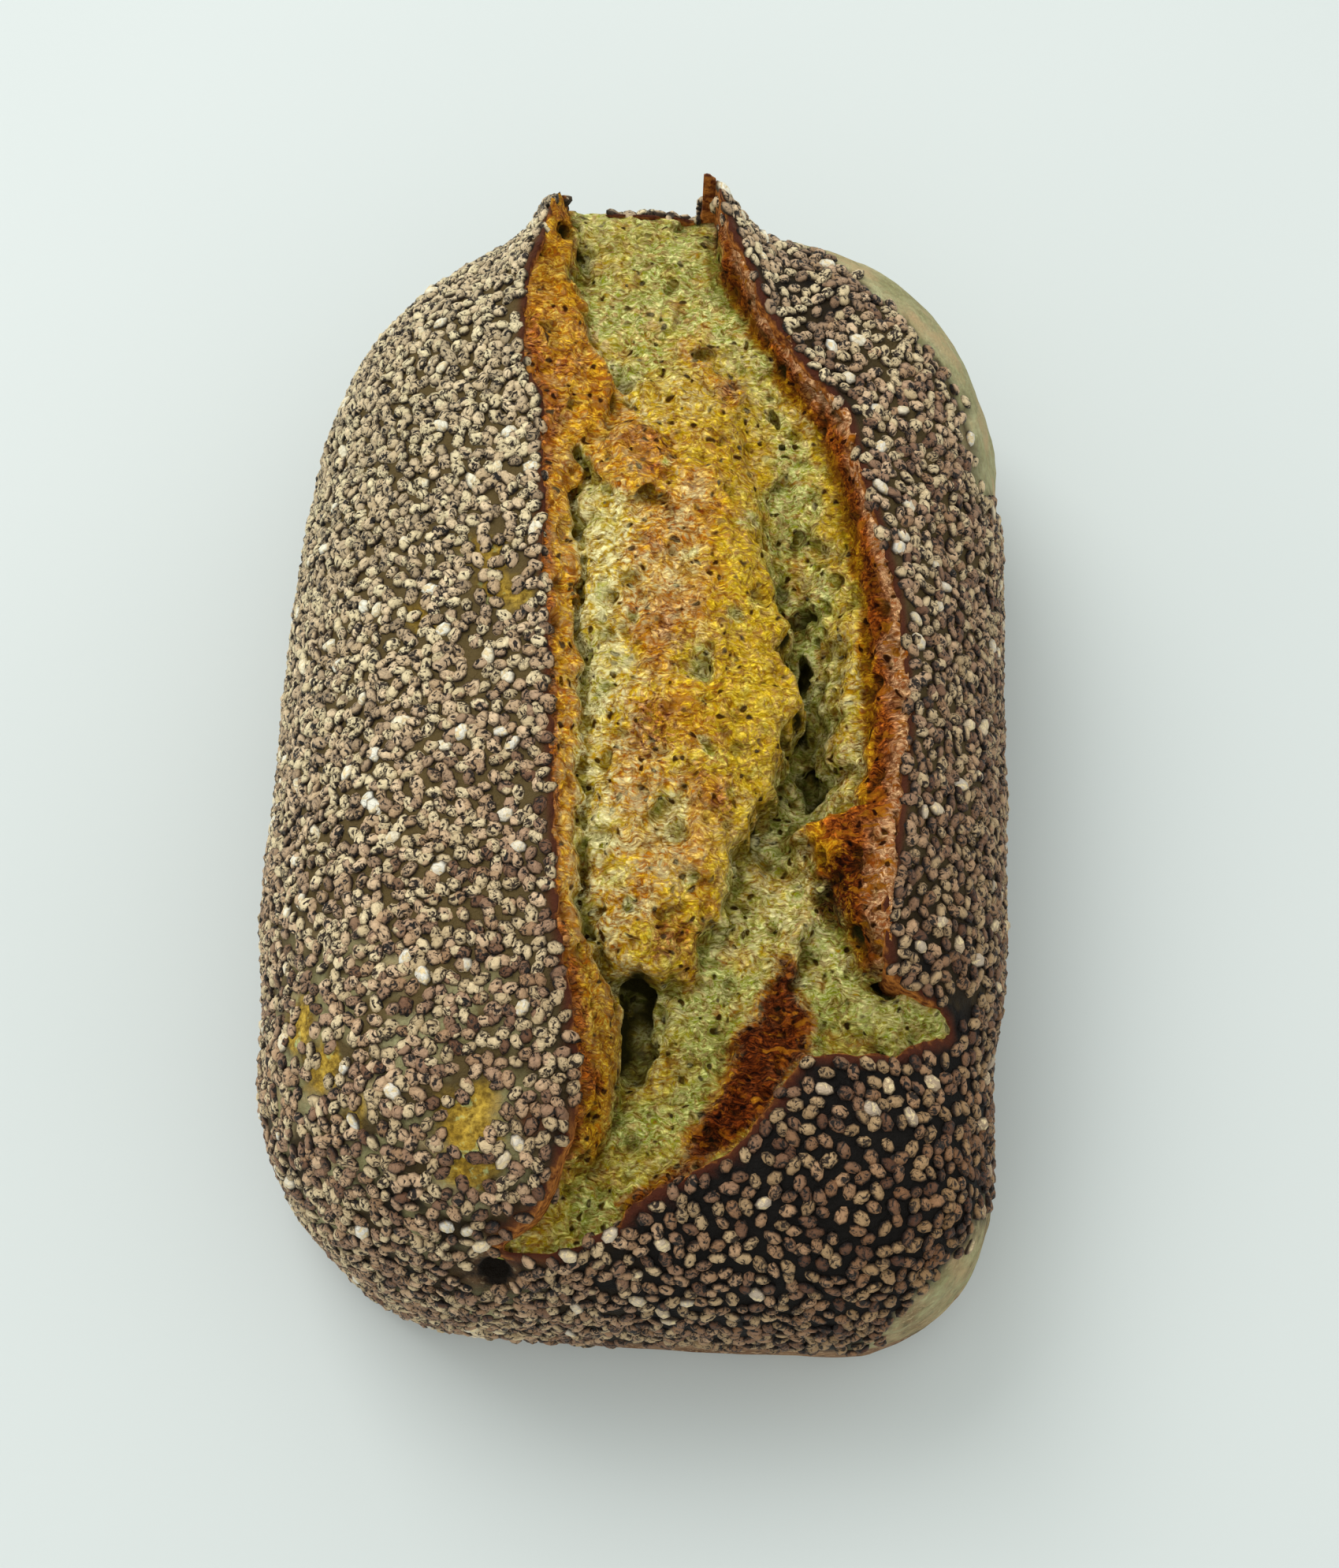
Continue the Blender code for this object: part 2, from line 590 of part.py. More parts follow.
def seed_places(body):
    """Evenly spread places on the crust with their outward directions."""
    draw = random.Random(RANDOM_SEED)
    mesh = body.data
    mesh.calc_loop_triangles()
    triangles = list(mesh.loop_triangles)
    areas = [triangle.area for triangle in triangles]
    places = []
    for triangle in draw.choices(triangles, weights=areas, k=SEED_TRIES):
        u, v = sorted((draw.random(), draw.random()))
        a, b, c = (mesh.vertices[i].co for i in triangle.vertices)
        point = (a * u + b * (v - u) + c * (1.0 - v)) / METRES_PER_MM
        spin = draw.uniform(0.0, math.tau)
        if not has_seeds(point):
            continue
        if all((point - other).length > SEED_SPACING for other, _, _ in places):
            places.append((point, triangle.normal.copy(), spin))
        if len(places) == SEED_COUNT:
            break
    return places


def make_seed(number, point, normal, spin):
    """One chia seed lying on the crust."""
    work = bmesh.new()
    bmesh.ops.create_uvsphere(work, u_segments=SEED_SEGMENTS, v_segments=SEED_RINGS, radius=0.5 * METRES_PER_MM)
    bmesh.ops.scale(work, vec=Vector((SEED_LENGTH, SEED_WIDTH, SEED_THICKNESS)), verts=work.verts)
    turn = normal.to_track_quat("Z", "Y").to_matrix().to_4x4() @ Matrix.Rotation(spin, 4, "Z")
    place = Matrix.Translation((point + normal * SEED_SINK) * METRES_PER_MM)
    bmesh.ops.transform(work, matrix=place @ turn, verts=work.verts)
    mesh = bpy.data.meshes.new(f"seed {number}")
    work.to_mesh(mesh)
    work.free()
    seed = bpy.data.objects.new(mesh.name, mesh)
    bpy.context.scene.collection.objects.link(seed)
    return seed


def crust_material():
    """Matt browned crust."""
    material = bpy.data.materials.new("baked crust")
    material.use_nodes = True
    shader = material.node_tree.nodes["Principled BSDF"]
    shader.inputs["Base Color"].default_value = CRUST_COLOUR
    shader.inputs["Roughness"].default_value = CRUST_ROUGHNESS
    return material


def main():
    for obj in list(bpy.data.objects):
        bpy.data.objects.remove(obj, do_unlink=True)
    loaf = make_body()
    places = seed_places(loaf)
    boolean(loaf, "DIFFERENCE", [make_split_cutter()])
    boolean(loaf, "UNION", [make_crumb(), make_lip("left lip", LEFT_LIP, -1.0), make_lip("right lip", RIGHT_LIP, 1.0)])
    hollows = [*HOLLOWS, CRUST_HOLE]
    boolean(loaf, "DIFFERENCE", [make_hollow(i, centre, radii) for i, (centre, radii) in enumerate(hollows)])
    keep_main_shell(loaf)
    boolean(loaf, "UNION", [make_seed(i, *place) for i, place in enumerate(places)])
    keep_main_shell(loaf)
    loaf.data.materials.clear()
    loaf.data.materials.append(crust_material())


main()
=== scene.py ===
"""Small seeded sourdough loaf: crust, torn crumb, chia seeds, and the table it is shown on."""
import math
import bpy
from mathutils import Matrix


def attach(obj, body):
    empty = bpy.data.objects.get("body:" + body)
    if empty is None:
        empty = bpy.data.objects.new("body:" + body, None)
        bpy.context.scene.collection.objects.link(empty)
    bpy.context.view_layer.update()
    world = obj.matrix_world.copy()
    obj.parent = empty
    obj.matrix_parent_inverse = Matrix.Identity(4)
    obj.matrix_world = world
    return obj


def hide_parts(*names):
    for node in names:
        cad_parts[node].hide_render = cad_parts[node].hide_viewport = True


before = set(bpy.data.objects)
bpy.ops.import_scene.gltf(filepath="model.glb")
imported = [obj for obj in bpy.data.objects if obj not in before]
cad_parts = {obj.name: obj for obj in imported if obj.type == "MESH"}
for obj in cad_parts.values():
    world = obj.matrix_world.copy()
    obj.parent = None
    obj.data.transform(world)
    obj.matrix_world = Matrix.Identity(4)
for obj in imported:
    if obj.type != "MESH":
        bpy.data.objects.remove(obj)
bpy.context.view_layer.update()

from types import SimpleNamespace

import bmesh
import bpy
import numpy as np
import openvdb
from bpy.props import FloatProperty, FloatVectorProperty, IntProperty, PointerProperty
from mathutils import Matrix, Vector

bl_info = {
    "name": "Seeded sourdough loaf",
    "version": (1, 0, 0),
    "blender": (4, 5, 0),
    "location": "3D View > Sidebar > Loaf",
    "description": "Builds a split, seeded sourdough loaf from named sizes",
    "category": "Object",
}

METRES_PER_MM = 0.001

# Plan and height profile of the body, in millimetres
CORNER_FAR_RIGHT = 32.0
CORNER_FAR_LEFT = 37.0
CORNER_NEAR_LEFT = 32.0
CORNER_NEAR_RIGHT = 18.5
SHOULDER_START = 14.0
SHOULDER_DEPTH = 24.0
SHOULDER_EXPONENT = 2.4
FOOT_INSET = 2.6
FOOT_HEIGHT = 7.0
CENTRE_RISE = 3.0
LUMP_HEIGHT = 0.5
LUMP_LENGTH = 22.0
# Sag of the near right quarter: depth, and where it starts and is full, x and y
SAG_DEPTH = 6.5
SAG_FROM = (-10.0, -22.0)
SAG_TO = (6.0, -46.0)
# Swelling of the long sides: y, left, right
SIDE_SWELL = (
    (60.0, 0.0, 0.0), (42.0, 0.8, 0.2), (27.0, 2.4, 0.9), (12.0, 2.4, 0.9), (0.0, 2.1, 1.1),
    (-15.0, 1.5, 1.1), (-28.0, 1.4, 1.1), (-38.0, 0.2, 0.2), (-70.0, 0.0, 0.0),
)
# Full, blunt middle of the far end, where the split reaches the rim
BLUNT_X = -4.0
BLUNT_HALF_WIDTH = 21.0
BLUNT_DEPTH_CUT = 9.0
BLUNT_RISE = 1.8
BLUNT_FROM_Y = 30.0
BLUNT_TO_Y = 60.0

# Left edge of the split, far to near: y, x, rise above the crust
LEFT_LIP = (
    (67.0, -15.0, 8.5), (63.5, -15.4, 5.6), (60.0, -16.2, 3.8), (54.8, -17.6, 2.4), (48.0, -17.8, 2.0),
    (42.2, -17.2, 1.8), (36.3, -14.6, 1.6), (25.8, -13.8, 1.4), (14.9, -12.7, 1.4), (-0.7, -11.0, 1.4),
    (-15.6, -9.5, 1.4), (-29.1, -8.3, 1.4), (-38.8, -6.3, 1.4), (-48.8, -3.9, 1.2), (-53.0, -4.4, 1.0),
    (-58.8, -5.8, 0.6), (-62.1, -7.0, 0.4), (-65.5, -10.6, 0.1), (-67.5, -12.8, 0.0),
)
# Right edge of the split, where the seeds begin, far to near: y, x, rise above the crust
RIGHT_LIP = (
    (69.2, 5.2, 10.8), (67.4, 5.6, 9.8), (65.0, 6.2, 7.8), (62.0, 7.4, 5.6), (57.5, 9.4, 3.8),
    (51.7, 12.2, 2.8), (47.4, 14.8, 2.2), (43.0, 18.2, 1.8), (36.8, 23.3, 1.5), (27.9, 25.8, 1.3),
    (12.0, 30.4, 1.3), (-2.0, 32.2, 1.3), (-12.3, 31.5, 1.3), (-26.9, 30.0, 1.2), (-33.6, 30.6, 0.8),
)
# Inner edge of the orange face below the left lip: y, x
LEFT_FACE_FOOT = (
    (66.0, -12.6), (57.0, -12.6), (50.0, -10.4), (43.0, -7.6), (37.0, -6.2), (30.0, -9.6), (18.0, -10.0),
    (8.0, -8.4), (-13.0, -7.0), (-28.0, -6.0), (-34.0, -3.6), (-38.5, 0.0), (-46.0, 0.3), (-53.0, -0.6),
    (-58.0, -3.6),
)
# Inner edge of the brown strip below the right lip: y, x
RIGHT_FACE_FOOT = (
    (65.0, 5.4), (57.0, 6.4), (53.5, 9.0), (48.0, 12.4), (43.0, 15.6), (34.0, 20.8), (23.5, 24.4),
    (13.0, 26.2), (-1.0, 27.3), (-13.5, 26.6), (-16.0, 20.0), (-22.9, 23.9), (-27.4, 25.7), (-31.5, 27.6),
)
# Near boundary of the split, left to right: x, y
NEAR_EDGE = (
    (-6.5, -67.6), (0.5, -64.4), (2.2, -62.2), (7.4, -58.8), (13.5, -55.2), (17.4, -50.3), (21.2, -43.8),
    (31.4, -43.2), (38.4, -39.6),
)
NEAR_RIGHT_CORNER = ((38.0, -37.6), (34.5, -35.6))
FAR_EDGE_Y = 68.0

# Deepest line of the right valley, and heights of its floor and of its right shoulder: y, x, z, z
VALLEY = (
    (71.0, -3.0, 43.0, 43.0), (68.0, -3.0, 45.6, 45.6), (64.0, -2.0, 47.6, 47.4),
    (52.0, 4.0, 48.2, 48.0), (44.0, 12.0, 47.2, 47.6), (36.0, 15.6, 46.0, 47.2),
    (28.0, 17.0, 44.6, 46.8), (20.0, 18.3, 42.6, 46.4), (11.5, 19.1, 40.4, 46.0),
    (3.0, 20.2, 38.8, 45.6), (-3.0, 20.9, 38.4, 45.2), (-11.0, 21.4, 38.8, 44.2),
    (-17.0, 17.0, 40.4, 42.0), (-26.0, 14.0, 41.2, 41.4), (-34.0, 8.0, 41.0, 40.6),
    (-45.0, 4.0, 40.6, 40.8), (-56.0, 0.0, 41.0, 41.0), (-68.0, -6.0, 39.4, 39.4),
)
# Crest height and right edge of the central mass: y, z, x
MASS = (
    (50.0, 47.2, 3.0), (44.0, 49.2, 8.5), (37.0, 50.6, 11.0), (29.0, 51.8, 12.4), (19.0, 52.0, 13.8),
    (9.0, 52.0, 17.0), (-1.0, 51.8, 19.2), (-10.0, 51.4, 17.2), (-18.3, 50.4, 13.1), (-24.4, 49.4, 12.1),
    (-30.0, 48.2, 9.0), (-35.5, 46.2, 6.6),
)
MASS_NEAR_Y = -35.8
MASS_FAR_FADE = (52.0, 36.0)
MASS_EDGE_WIDTH = 0.6
MASS_FAR_EDGE_WIDTH = 4.5
MASS_CROWN = 2.6
# The floor is smooth beyond the first y and torn rough nearer than the second
FLOOR_ROUGHENS = (48.0, 34.0)
# Orange face below the left lip, and the crevice at its foot; ends are pairs of y
LEFT_FACE_DROP = 2.4
LEFT_FACE_NEAR_DROP = 1.2
LEFT_FACE_END = (-61.0, -55.0)
CREVICE_WIDTH = 0.4
CREVICE_FAR_END = (32.0, 28.0)
CREVICE_NEAR_END = (-36.0, -32.0)
# Brown strip below the right lip
RIGHT_FACE_DROP_LEAST = 2.5
RIGHT_FACE_DROP_MOST = 6.5
RIGHT_FACE_TOP_MOST = 5.0
RIGHT_FACE_END = (-34.5, -31.5)
# Nearer than this y the crumb stays level with the crust
NEAR_PLATE_Y = -34.0
CRUMB_BOTTOM = 31.0
CRUMB_BOX = ((-21.0, 43.0), (-71.0, 73.0), (CRUMB_BOTTOM - 2.0, 60.0))
CRUST_BOX = ((-53.0, 53.0), (-79.0, 79.0), (-2.0, 62.0))
# How far back the lips lift the crust, and where they rise to ears and end, in pairs of y
LIP_REACH = 6.0
EARS_RISE = (54.0, 64.0)
LEFT_EAR_TIP = (70.5, 67.0)
RIGHT_EAR_TIP = (70.6, 68.6)
RIGHT_LIP_END = (-35.5, -32.5)
PORE_COUNT = 4200

# Torn hollows: centre x, y, z and radii
HOLLOWS = (
    ((16.3, 34.0, 44.2), (0.8, 1.4, 1.7)),
    ((14.2, 38.6, 45.3), (0.7, 1.0, 1.3)),
    ((18.2, 23.3, 43.0), (0.8, 1.4, 1.8)),
    ((16.6, 16.5, 42.0), (0.9, 1.4, 1.6)),
    ((18.9, 12.8, 40.2), (2.2, 1.1, 2.2)),
    ((19.8, 6.3, 38.6), (0.9, 2.6, 2.4)),
    ((19.6, -1.0, 37.8), (0.9, 2.4, 2.2)),
    ((21.4, -8.8, 37.6), (1.6, 4.0, 2.6)),
    ((1.6, -40.5, 39.2), (2.8, 7.2, 3.3)),
    ((31.2, -33.6, 40.4), (1.8, 2.2, 3.2)),
    ((-10.9, 60.4, 47.2), (0.8, 1.0, 1.4)),
)
CRUST_HOLE = ((-13.2, -69.6, 36.9), (1.8, 2.5, 2.7))
# Soft dips in the crumb: centre x, y, radii, depth
DIPS = (
    (1.6, -41.0, 3.4, 8.5, 2.6), (21.2, -8.5, 2.0, 5.5, 1.6), (30.6, -34.0, 3.0, 2.4, 1.4),
    (-10.6, 59.5, 1.6, 4.4, 2.2), (-6.5, 53.6, 4.0, 0.7, 0.8), (11.0, 33.5, 2.2, 3.0, 0.9),
    (13.8, 41.5, 1.2, 2.6, 0.9),
)
# Open blisters on the central mass: x, y, radius, depth
BLISTERS = (
    (7.3, 1.2, 2.4, 2.0), (4.4, -17.3, 3.2, 2.3), (4.6, -17.0, 1.2, -1.2), (-3.7, -20.3, 1.9, 1.1),
    (-4.5, -1.7, 1.2, 1.6), (1.8, 27.7, 1.2, 1.0), (12.0, 22.0, 1.5, 1.0), (-1.5, 8.0, 1.2, 0.8),
    (8.6, -8.5, 1.6, 1.1), (11.0, 8.5, 1.3, 1.0), (4.8, 16.0, 1.4, 0.7), (-5.2, 12.0, 1.2, 0.8),
    (10.5, -13.5, 1.2, 0.9), (0.5, -28.5, 1.4, 0.9), (-2.0, 2.5, 1.0, 0.8), (6.5, -24.0, 1.1, 0.8),
)
# Raised torn ridges on the crumb: start x, y, end x, y, width, height, share of orange
RIDGES = (
    (1.8, 47.8, 6.1, 44.0, 0.9, 1.1, 0.8), (6.1, 44.0, 10.4, 40.5, 1.0, 1.6, 1.0),
    (10.4, 40.5, 9.0, 37.9, 0.9, 1.1, 1.0), (1.0, -11.5, 5.6, -13.1, 0.9, 0.9, 0.4),
    (19.3, -16.4, 22.6, -23.6, 1.2, 1.4, 0.6), (22.6, -23.6, 19.7, -28.3, 1.3, 1.7, 0.6),
    (19.7, -28.3, 19.0, -34.0, 1.4, 1.9, 0.7), (30.7, -32.1, 35.9, -36.2, 0.8, 1.4, 0.9),
    (27.0, 8.0, 24.6, 0.0, 1.0, 0.9, 0.2), (24.6, 0.0, 24.8, -12.0, 1.1, 0.9, 0.3),
)
# Torn orange flap that runs from the left face onto the mass: x, y
FLAP = (
    (-9.5, 46.0), (-6.9, 41.2), (-4.0, 37.0), (-0.2, 32.6), (2.5, 28.2), (1.6, 25.0), (-2.8, 23.2),
    (-7.5, 27.0), (-9.5, 34.0),
)
FLAP_RISE = 1.2


def smooth_step(start, end, value):
    """Ease from 0 at start to 1 at end."""
    t = np.clip((value - start) / (end - start), 0.0, 1.0)
    return t * t * (3.0 - 2.0 * t)


def along(y, table, column=1):
    """Value at y of a table whose rows start with y, far to near."""
    rows = table[::-1]
    return np.interp(y, [row[0] for row in rows], [row[column] for row in rows])


def lattice_noise(axes, length, seed):
    """Smooth random values from -1 to 1 on a regular grid, varying over about one length."""
    generator = np.random.default_rng(seed)
    cells = [int((axis[-1] - axis[0]) / length) + 3 for axis in axes]
    values = generator.uniform(-1.0, 1.0, size=cells).astype(np.float32)
    for number, axis in enumerate(axes):
        place = (axis - axis[0]) / length + 0.37
        lower = np.floor(place).astype(int)
        part = (place - lower).astype(np.float32)
        part = part * part * (3.0 - 2.0 * part)
        shape = [1] * len(axes)
        shape[number] = len(axis)
        part = part.reshape(shape)
        before = np.take(values, lower, axis=number)
        after = np.take(values, lower + 1, axis=number)
        values = before * (1.0 - part) + after * part
    return values


def cell_distance(x, y, length, seed):
    """Distance to the nearest two of a jittered grid of points, in cell lengths."""
    column = np.floor(x / length).astype(int)
    row = np.floor(y / length).astype(int)
    nearest = np.full(x.shape, 9.0)
    second = np.full(x.shape, 9.0)
    for step_x in (-1, 0, 1):
        for step_y in (-1, 0, 1):
            i = column + step_x
            j = row + step_y
            centre_x = (i + 0.5 + 0.45 * hash_noise(i, j, seed)) * length
            centre_y = (j + 0.5 + 0.45 * hash_noise(i, j, seed + 1)) * length
            distance = np.hypot(x - centre_x, y - centre_y) / length
            second = np.minimum(second, np.maximum(nearest, distance))
            nearest = np.minimum(nearest, distance)
    return nearest, second


def hash_noise(i, j, seed):
    """Random value from -1 to 1 for a pair of whole numbers."""
    value = np.sin(i * 127.1 + j * 311.7 + seed * 74.7) * 43758.5453
    return 2.0 * (value - np.floor(value)) - 1.0


def plan_inset(x, y, half_width, half_length):
    """Distance inwards from the edge of the plan."""
    swell = np.where(x > 0.0, along(y, SIDE_SWELL, 2), along(y, SIDE_SWELL, 1))
    flank = np.abs(x) * half_width / (half_width + swell)
    radius = np.where(
        y > 0.0,
        np.where(x > 0.0, CORNER_FAR_RIGHT, CORNER_FAR_LEFT),
        np.where(x > 0.0, CORNER_NEAR_RIGHT, CORNER_NEAR_LEFT),
    )
    over_x = flank - (half_width - radius)
    over_y = np.abs(y) - (half_length - radius)
    outside = np.hypot(np.maximum(over_x, 0.0), np.maximum(over_y, 0.0))
    return radius - outside - np.minimum(np.maximum(over_x, over_y), 0.0)


def bluntness(x, y):
    """Share of the full middle of the far end, 0 elsewhere."""
    across = np.clip(1.0 - ((x - BLUNT_X) / BLUNT_HALF_WIDTH) ** 2, 0.0, 1.0)
    return across ** 1.5 * smooth_step(BLUNT_FROM_Y, BLUNT_TO_Y, y)


def shoulder_depth(x, y):
    """How far in from the edge the shoulder's curve reaches."""
    return SHOULDER_DEPTH - BLUNT_DEPTH_CUT * bluntness(x, y)


def top_change(x, y, sizes):
    """Rise of the dome towards its middle less the sag of the near right quarter."""
    rise = CENTRE_RISE * (1.0 - (x / sizes.half_width) ** 2) * (1.0 - (y / sizes.half_length) ** 2)
    sag = SAG_DEPTH * smooth_step(SAG_FROM[1], SAG_TO[1], y) * smooth_step(SAG_FROM[0], SAG_TO[0], x)
    return rise - sag + BLUNT_RISE * bluntness(x, y)


def crust_height(x, y, sizes):
    """Height of the crust's top surface without its lips."""
    depth = shoulder_depth(x, y)
    inset = np.clip(plan_inset(x, y, sizes.half_width, sizes.half_length), 0.0, depth)
    drop = (1.0 - inset / depth) ** SHOULDER_EXPONENT
    share = (1.0 - drop) ** (1.0 / SHOULDER_EXPONENT)
    height = SHOULDER_START + share * (sizes.shoulder_top - SHOULDER_START)
    return height + top_change(x, y, sizes) * share ** 2


def lip_rise(x, y):
    """How far the crust is lifted towards the split, highest at its edges."""
    left = along(y, LEFT_LIP)
    right = along(y, RIGHT_LIP)
    ear = smooth_step(*EARS_RISE, y)
    reach = LIP_REACH * (1.0 + 0.2 * ear)
    curve = 1.4 + 0.1 * ear
    end_left = smooth_step(*LEFT_EAR_TIP, y)
    end_right = smooth_step(*RIGHT_EAR_TIP, y) * smooth_step(*RIGHT_LIP_END, y)
    from_left = np.clip(1.0 - (left - x) / reach, 0.0, 1.0) * (x < left + 1.5)
    from_right = np.clip(1.0 - (x - right) / reach, 0.0, 1.0) * (x > right - 1.5)
    rise_left = along(y, LEFT_LIP, 2) * from_left ** curve * end_left
    rise_right = along(y, RIGHT_LIP, 2) * from_right ** curve * end_right
    return rise_left + rise_right


def split_outline():
    """Plan of the split, anticlockwise from its far left end."""
    left = [(x, y) for y, x, _ in LEFT_LIP]
    right = [(x, y) for y, x, _ in reversed(RIGHT_LIP)]
    far = [(right[-1][0], FAR_EDGE_Y), (left[0][0], FAR_EDGE_Y)]
    return left + list(NEAR_EDGE) + list(NEAR_RIGHT_CORNER) + right + far


def outline_distance(x, y, outline):
    """Distance to a closed outline, negative inside it."""
    nearest = np.full(x.shape, 1e9)
    inside = np.zeros(x.shape, bool)
    for (x1, y1), (x2, y2) in zip(outline, outline[1:] + outline[:1]):
        run_x = x2 - x1
        run_y = y2 - y1
        part = np.clip(((x - x1) * run_x + (y - y1) * run_y) / (run_x ** 2 + run_y ** 2 + 1e-9), 0.0, 1.0)
        nearest = np.minimum(nearest, np.hypot(x - x1 - part * run_x, y - y1 - part * run_y))
        if y1 != y2:
            crosses = ((y1 > y) != (y2 > y)) & (x < x1 + (y - y1) * run_x / run_y)
            inside ^= crosses
    return np.where(inside, -nearest, nearest)


def segment_distance(x, y, x1, y1, x2, y2):
    """Distance to a straight segment."""
    run_x = x2 - x1
    run_y = y2 - y1
    part = np.clip(((x - x1) * run_x + (y - y1) * run_y) / (run_x ** 2 + run_y ** 2), 0.0, 1.0)
    return np.hypot(x - x1 - part * run_x, y - y1 - part * run_y)


def ragged(axes, length, height, seed):
    """Two octaves of plan noise for torn edges."""
    return height * (lattice_noise(axes, length, seed) + 0.5 * lattice_noise(axes, 0.4 * length, seed + 1))


def crumb_plan(axes, sizes):
    """Plan grid of the crumb with its torn places, the edges of its parts and the crust's height."""
    x, y = np.meshgrid(axes[0], axes[1], indexing="ij")
    plan = SimpleNamespace(axes=axes, x=x, y=y)
    plan.torn_x = x + ragged(axes, 3.2, 0.9, 11)
    plan.torn_y = y + ragged(axes, 3.2, 0.9, 13)
    plan.jagged_x = x + ragged(axes, 2.6, 1.5, 17)
    plan.left_lip = along(y, LEFT_LIP)
    plan.left_foot = along(plan.torn_y, LEFT_FACE_FOOT)
    plan.right_foot = along(plan.torn_y, RIGHT_FACE_FOOT)
    plan.right_lip = along(y, RIGHT_LIP)
    plan.crust = crust_height(x, y, sizes)
    plan.cells, _ = cell_distance(plan.torn_x, plan.torn_y, 3.2, 21)
    plan.small_cells, _ = cell_distance(x + ragged(axes, 1.5, 0.4, 23), y, 1.2, 25)
    return plan


def crumb_floor(plan):
    """Floor of the split: rippled far away, sinking into the right valley with a torn right shoulder."""
    axes, y = plan.axes, plan.y
    valley_x = along(y, VALLEY)
    floor = along(y, VALLEY, 2)
    shoulder = along(y, VALLEY, 3)
    climb_width = np.maximum(plan.right_foot - valley_x - 0.6, 1.0)
    climb = smooth_step(0.0, 1.0, (plan.torn_x - valley_x - 0.6) / climb_width)
    rough = smooth_step(*FLOOR_ROUGHENS, y)
    floor = floor + (shoulder - floor) * climb ** 0.7
    floor = floor + 0.5 * lattice_noise(axes, 7.0, 27) + 0.28 * lattice_noise(axes, 2.6, 28)
    floor = floor + rough * (0.9 * (plan.cells - 0.45) + 0.55 * lattice_noise(axes, 4.2, 29))
    floor = floor + (0.15 + 0.35 * rough) * (plan.small_cells - 0.45)
    for centre_x, centre_y, radius_x, radius_y, depth in DIPS:
        reach = ((plan.torn_x - centre_x) / radius_x) ** 2 + ((plan.torn_y - centre_y) / radius_y) ** 2
        floor = floor - depth * np.exp(-1.4 * reach)
    return floor, shoulder, climb


def blister_reach(plan, centre_x, centre_y, radius):
    """Distance from a blister's centre in its radii."""
    return np.hypot(plan.torn_x - centre_x, plan.torn_y - centre_y) / radius


def raise_mass(plan, floor):
    """Blistered central mass, running softly into the floor far away and torn off sharply nearer."""
    axes, y, torn_x = plan.axes, plan.y, plan.torn_x
    mass_right = along(plan.torn_y, MASS, 2)
    mass_left = plan.left_foot + 0.3
    crest = along(y, MASS)
    middle = 0.5 * (mass_left + mass_right)
    half = 0.5 * (mass_right - mass_left)
    bulge = crest - MASS_CROWN * ((torn_x - middle) / half) ** 2
    bumps, _ = cell_distance(torn_x, plan.torn_y, 4.2, 31)
    bulge = bulge + 0.7 * lattice_noise(axes, 6.5, 33) + 0.8 * (0.5 - bumps)
    bulge = bulge + 0.6 * lattice_noise(axes, 2.2, 34)
    bulge = bulge + 0.35 * (plan.small_cells - 0.45)
    for centre_x, centre_y, radius, depth in BLISTERS:
        reach = blister_reach(plan, centre_x, centre_y, radius)
        torn_rim = 0.4 * np.exp(-((reach - 1.05) / 0.22) ** 2)
        bulge = bulge - depth * np.clip(1.0 - reach ** 2, 0.0, 1.0) + torn_rim
    edge_width = MASS_EDGE_WIDTH + MASS_FAR_EDGE_WIDTH * smooth_step(10.0, 30.0, y)
    inside = smooth_step(mass_right + edge_width, mass_right - edge_width, plan.jagged_x)
    inside = inside * smooth_step(MASS_NEAR_Y - 0.6, MASS_NEAR_Y + 0.6, plan.torn_y)
    inside = inside * smooth_step(*MASS_FAR_FADE, y)
    return floor + (np.maximum(bulge, floor) - floor) * inside, inside


def raise_ridges(plan, height):
    """Torn ridges and the flap that runs onto the mass, with their shares."""
    ridge_orange = np.zeros(plan.x.shape)
    for x1, y1, x2, y2, width, rise, orange in RIDGES:
        distance = segment_distance(plan.torn_x, plan.torn_y, x1, y1, x2, y2)
        ridge = np.exp(-(distance / width) ** 2)
        height = height + rise * ridge
        ridge_orange = np.maximum(ridge_orange, orange * ridge)
    flap = smooth_step(0.35, -0.45, outline_distance(plan.torn_x, plan.torn_y, list(FLAP)))
    return height + FLAP_RISE * flap, ridge_orange, flap


def add_left_face(plan, height):
    """Orange face below the left lip, and the crevice beside it."""
    axes, y, left_foot = plan.axes, plan.y, plan.left_foot
    rise = along(y, LEFT_LIP, 2)
    share = (plan.x - plan.left_lip) / np.maximum(left_foot - plan.left_lip, 0.5)
    face = plan.crust + rise - LEFT_FACE_DROP * np.clip(share, 0.0, 1.2) ** 0.8
    face = face - LEFT_FACE_NEAR_DROP * smooth_step(-30.0, -44.0, y) * np.clip(share, 0.0, 1.0)
    face = face - 0.75 * np.maximum(rise - 2.4, 0.0) * smooth_step(0.0, 0.8, share)
    face = face + 0.4 * lattice_noise(axes, 2.0, 41) + 0.4 * (plan.small_cells - 0.45)
    on_left = smooth_step(left_foot + 0.5, left_foot - 0.5, plan.torn_x) * smooth_step(*LEFT_FACE_END, y)
    height = height + (face - height) * on_left
    crevice = np.exp(-((plan.torn_x - left_foot - 0.5) / CREVICE_WIDTH) ** 2)
    crevice = crevice * smooth_step(*CREVICE_FAR_END, y) * smooth_step(*CREVICE_NEAR_END, y)
    crevice_depth = 1.3 + 1.0 * smooth_step(-4.0, 8.0, y) + 0.8 * lattice_noise(axes, 4.0, 43)
    return height - crevice * crevice_depth, on_left, share


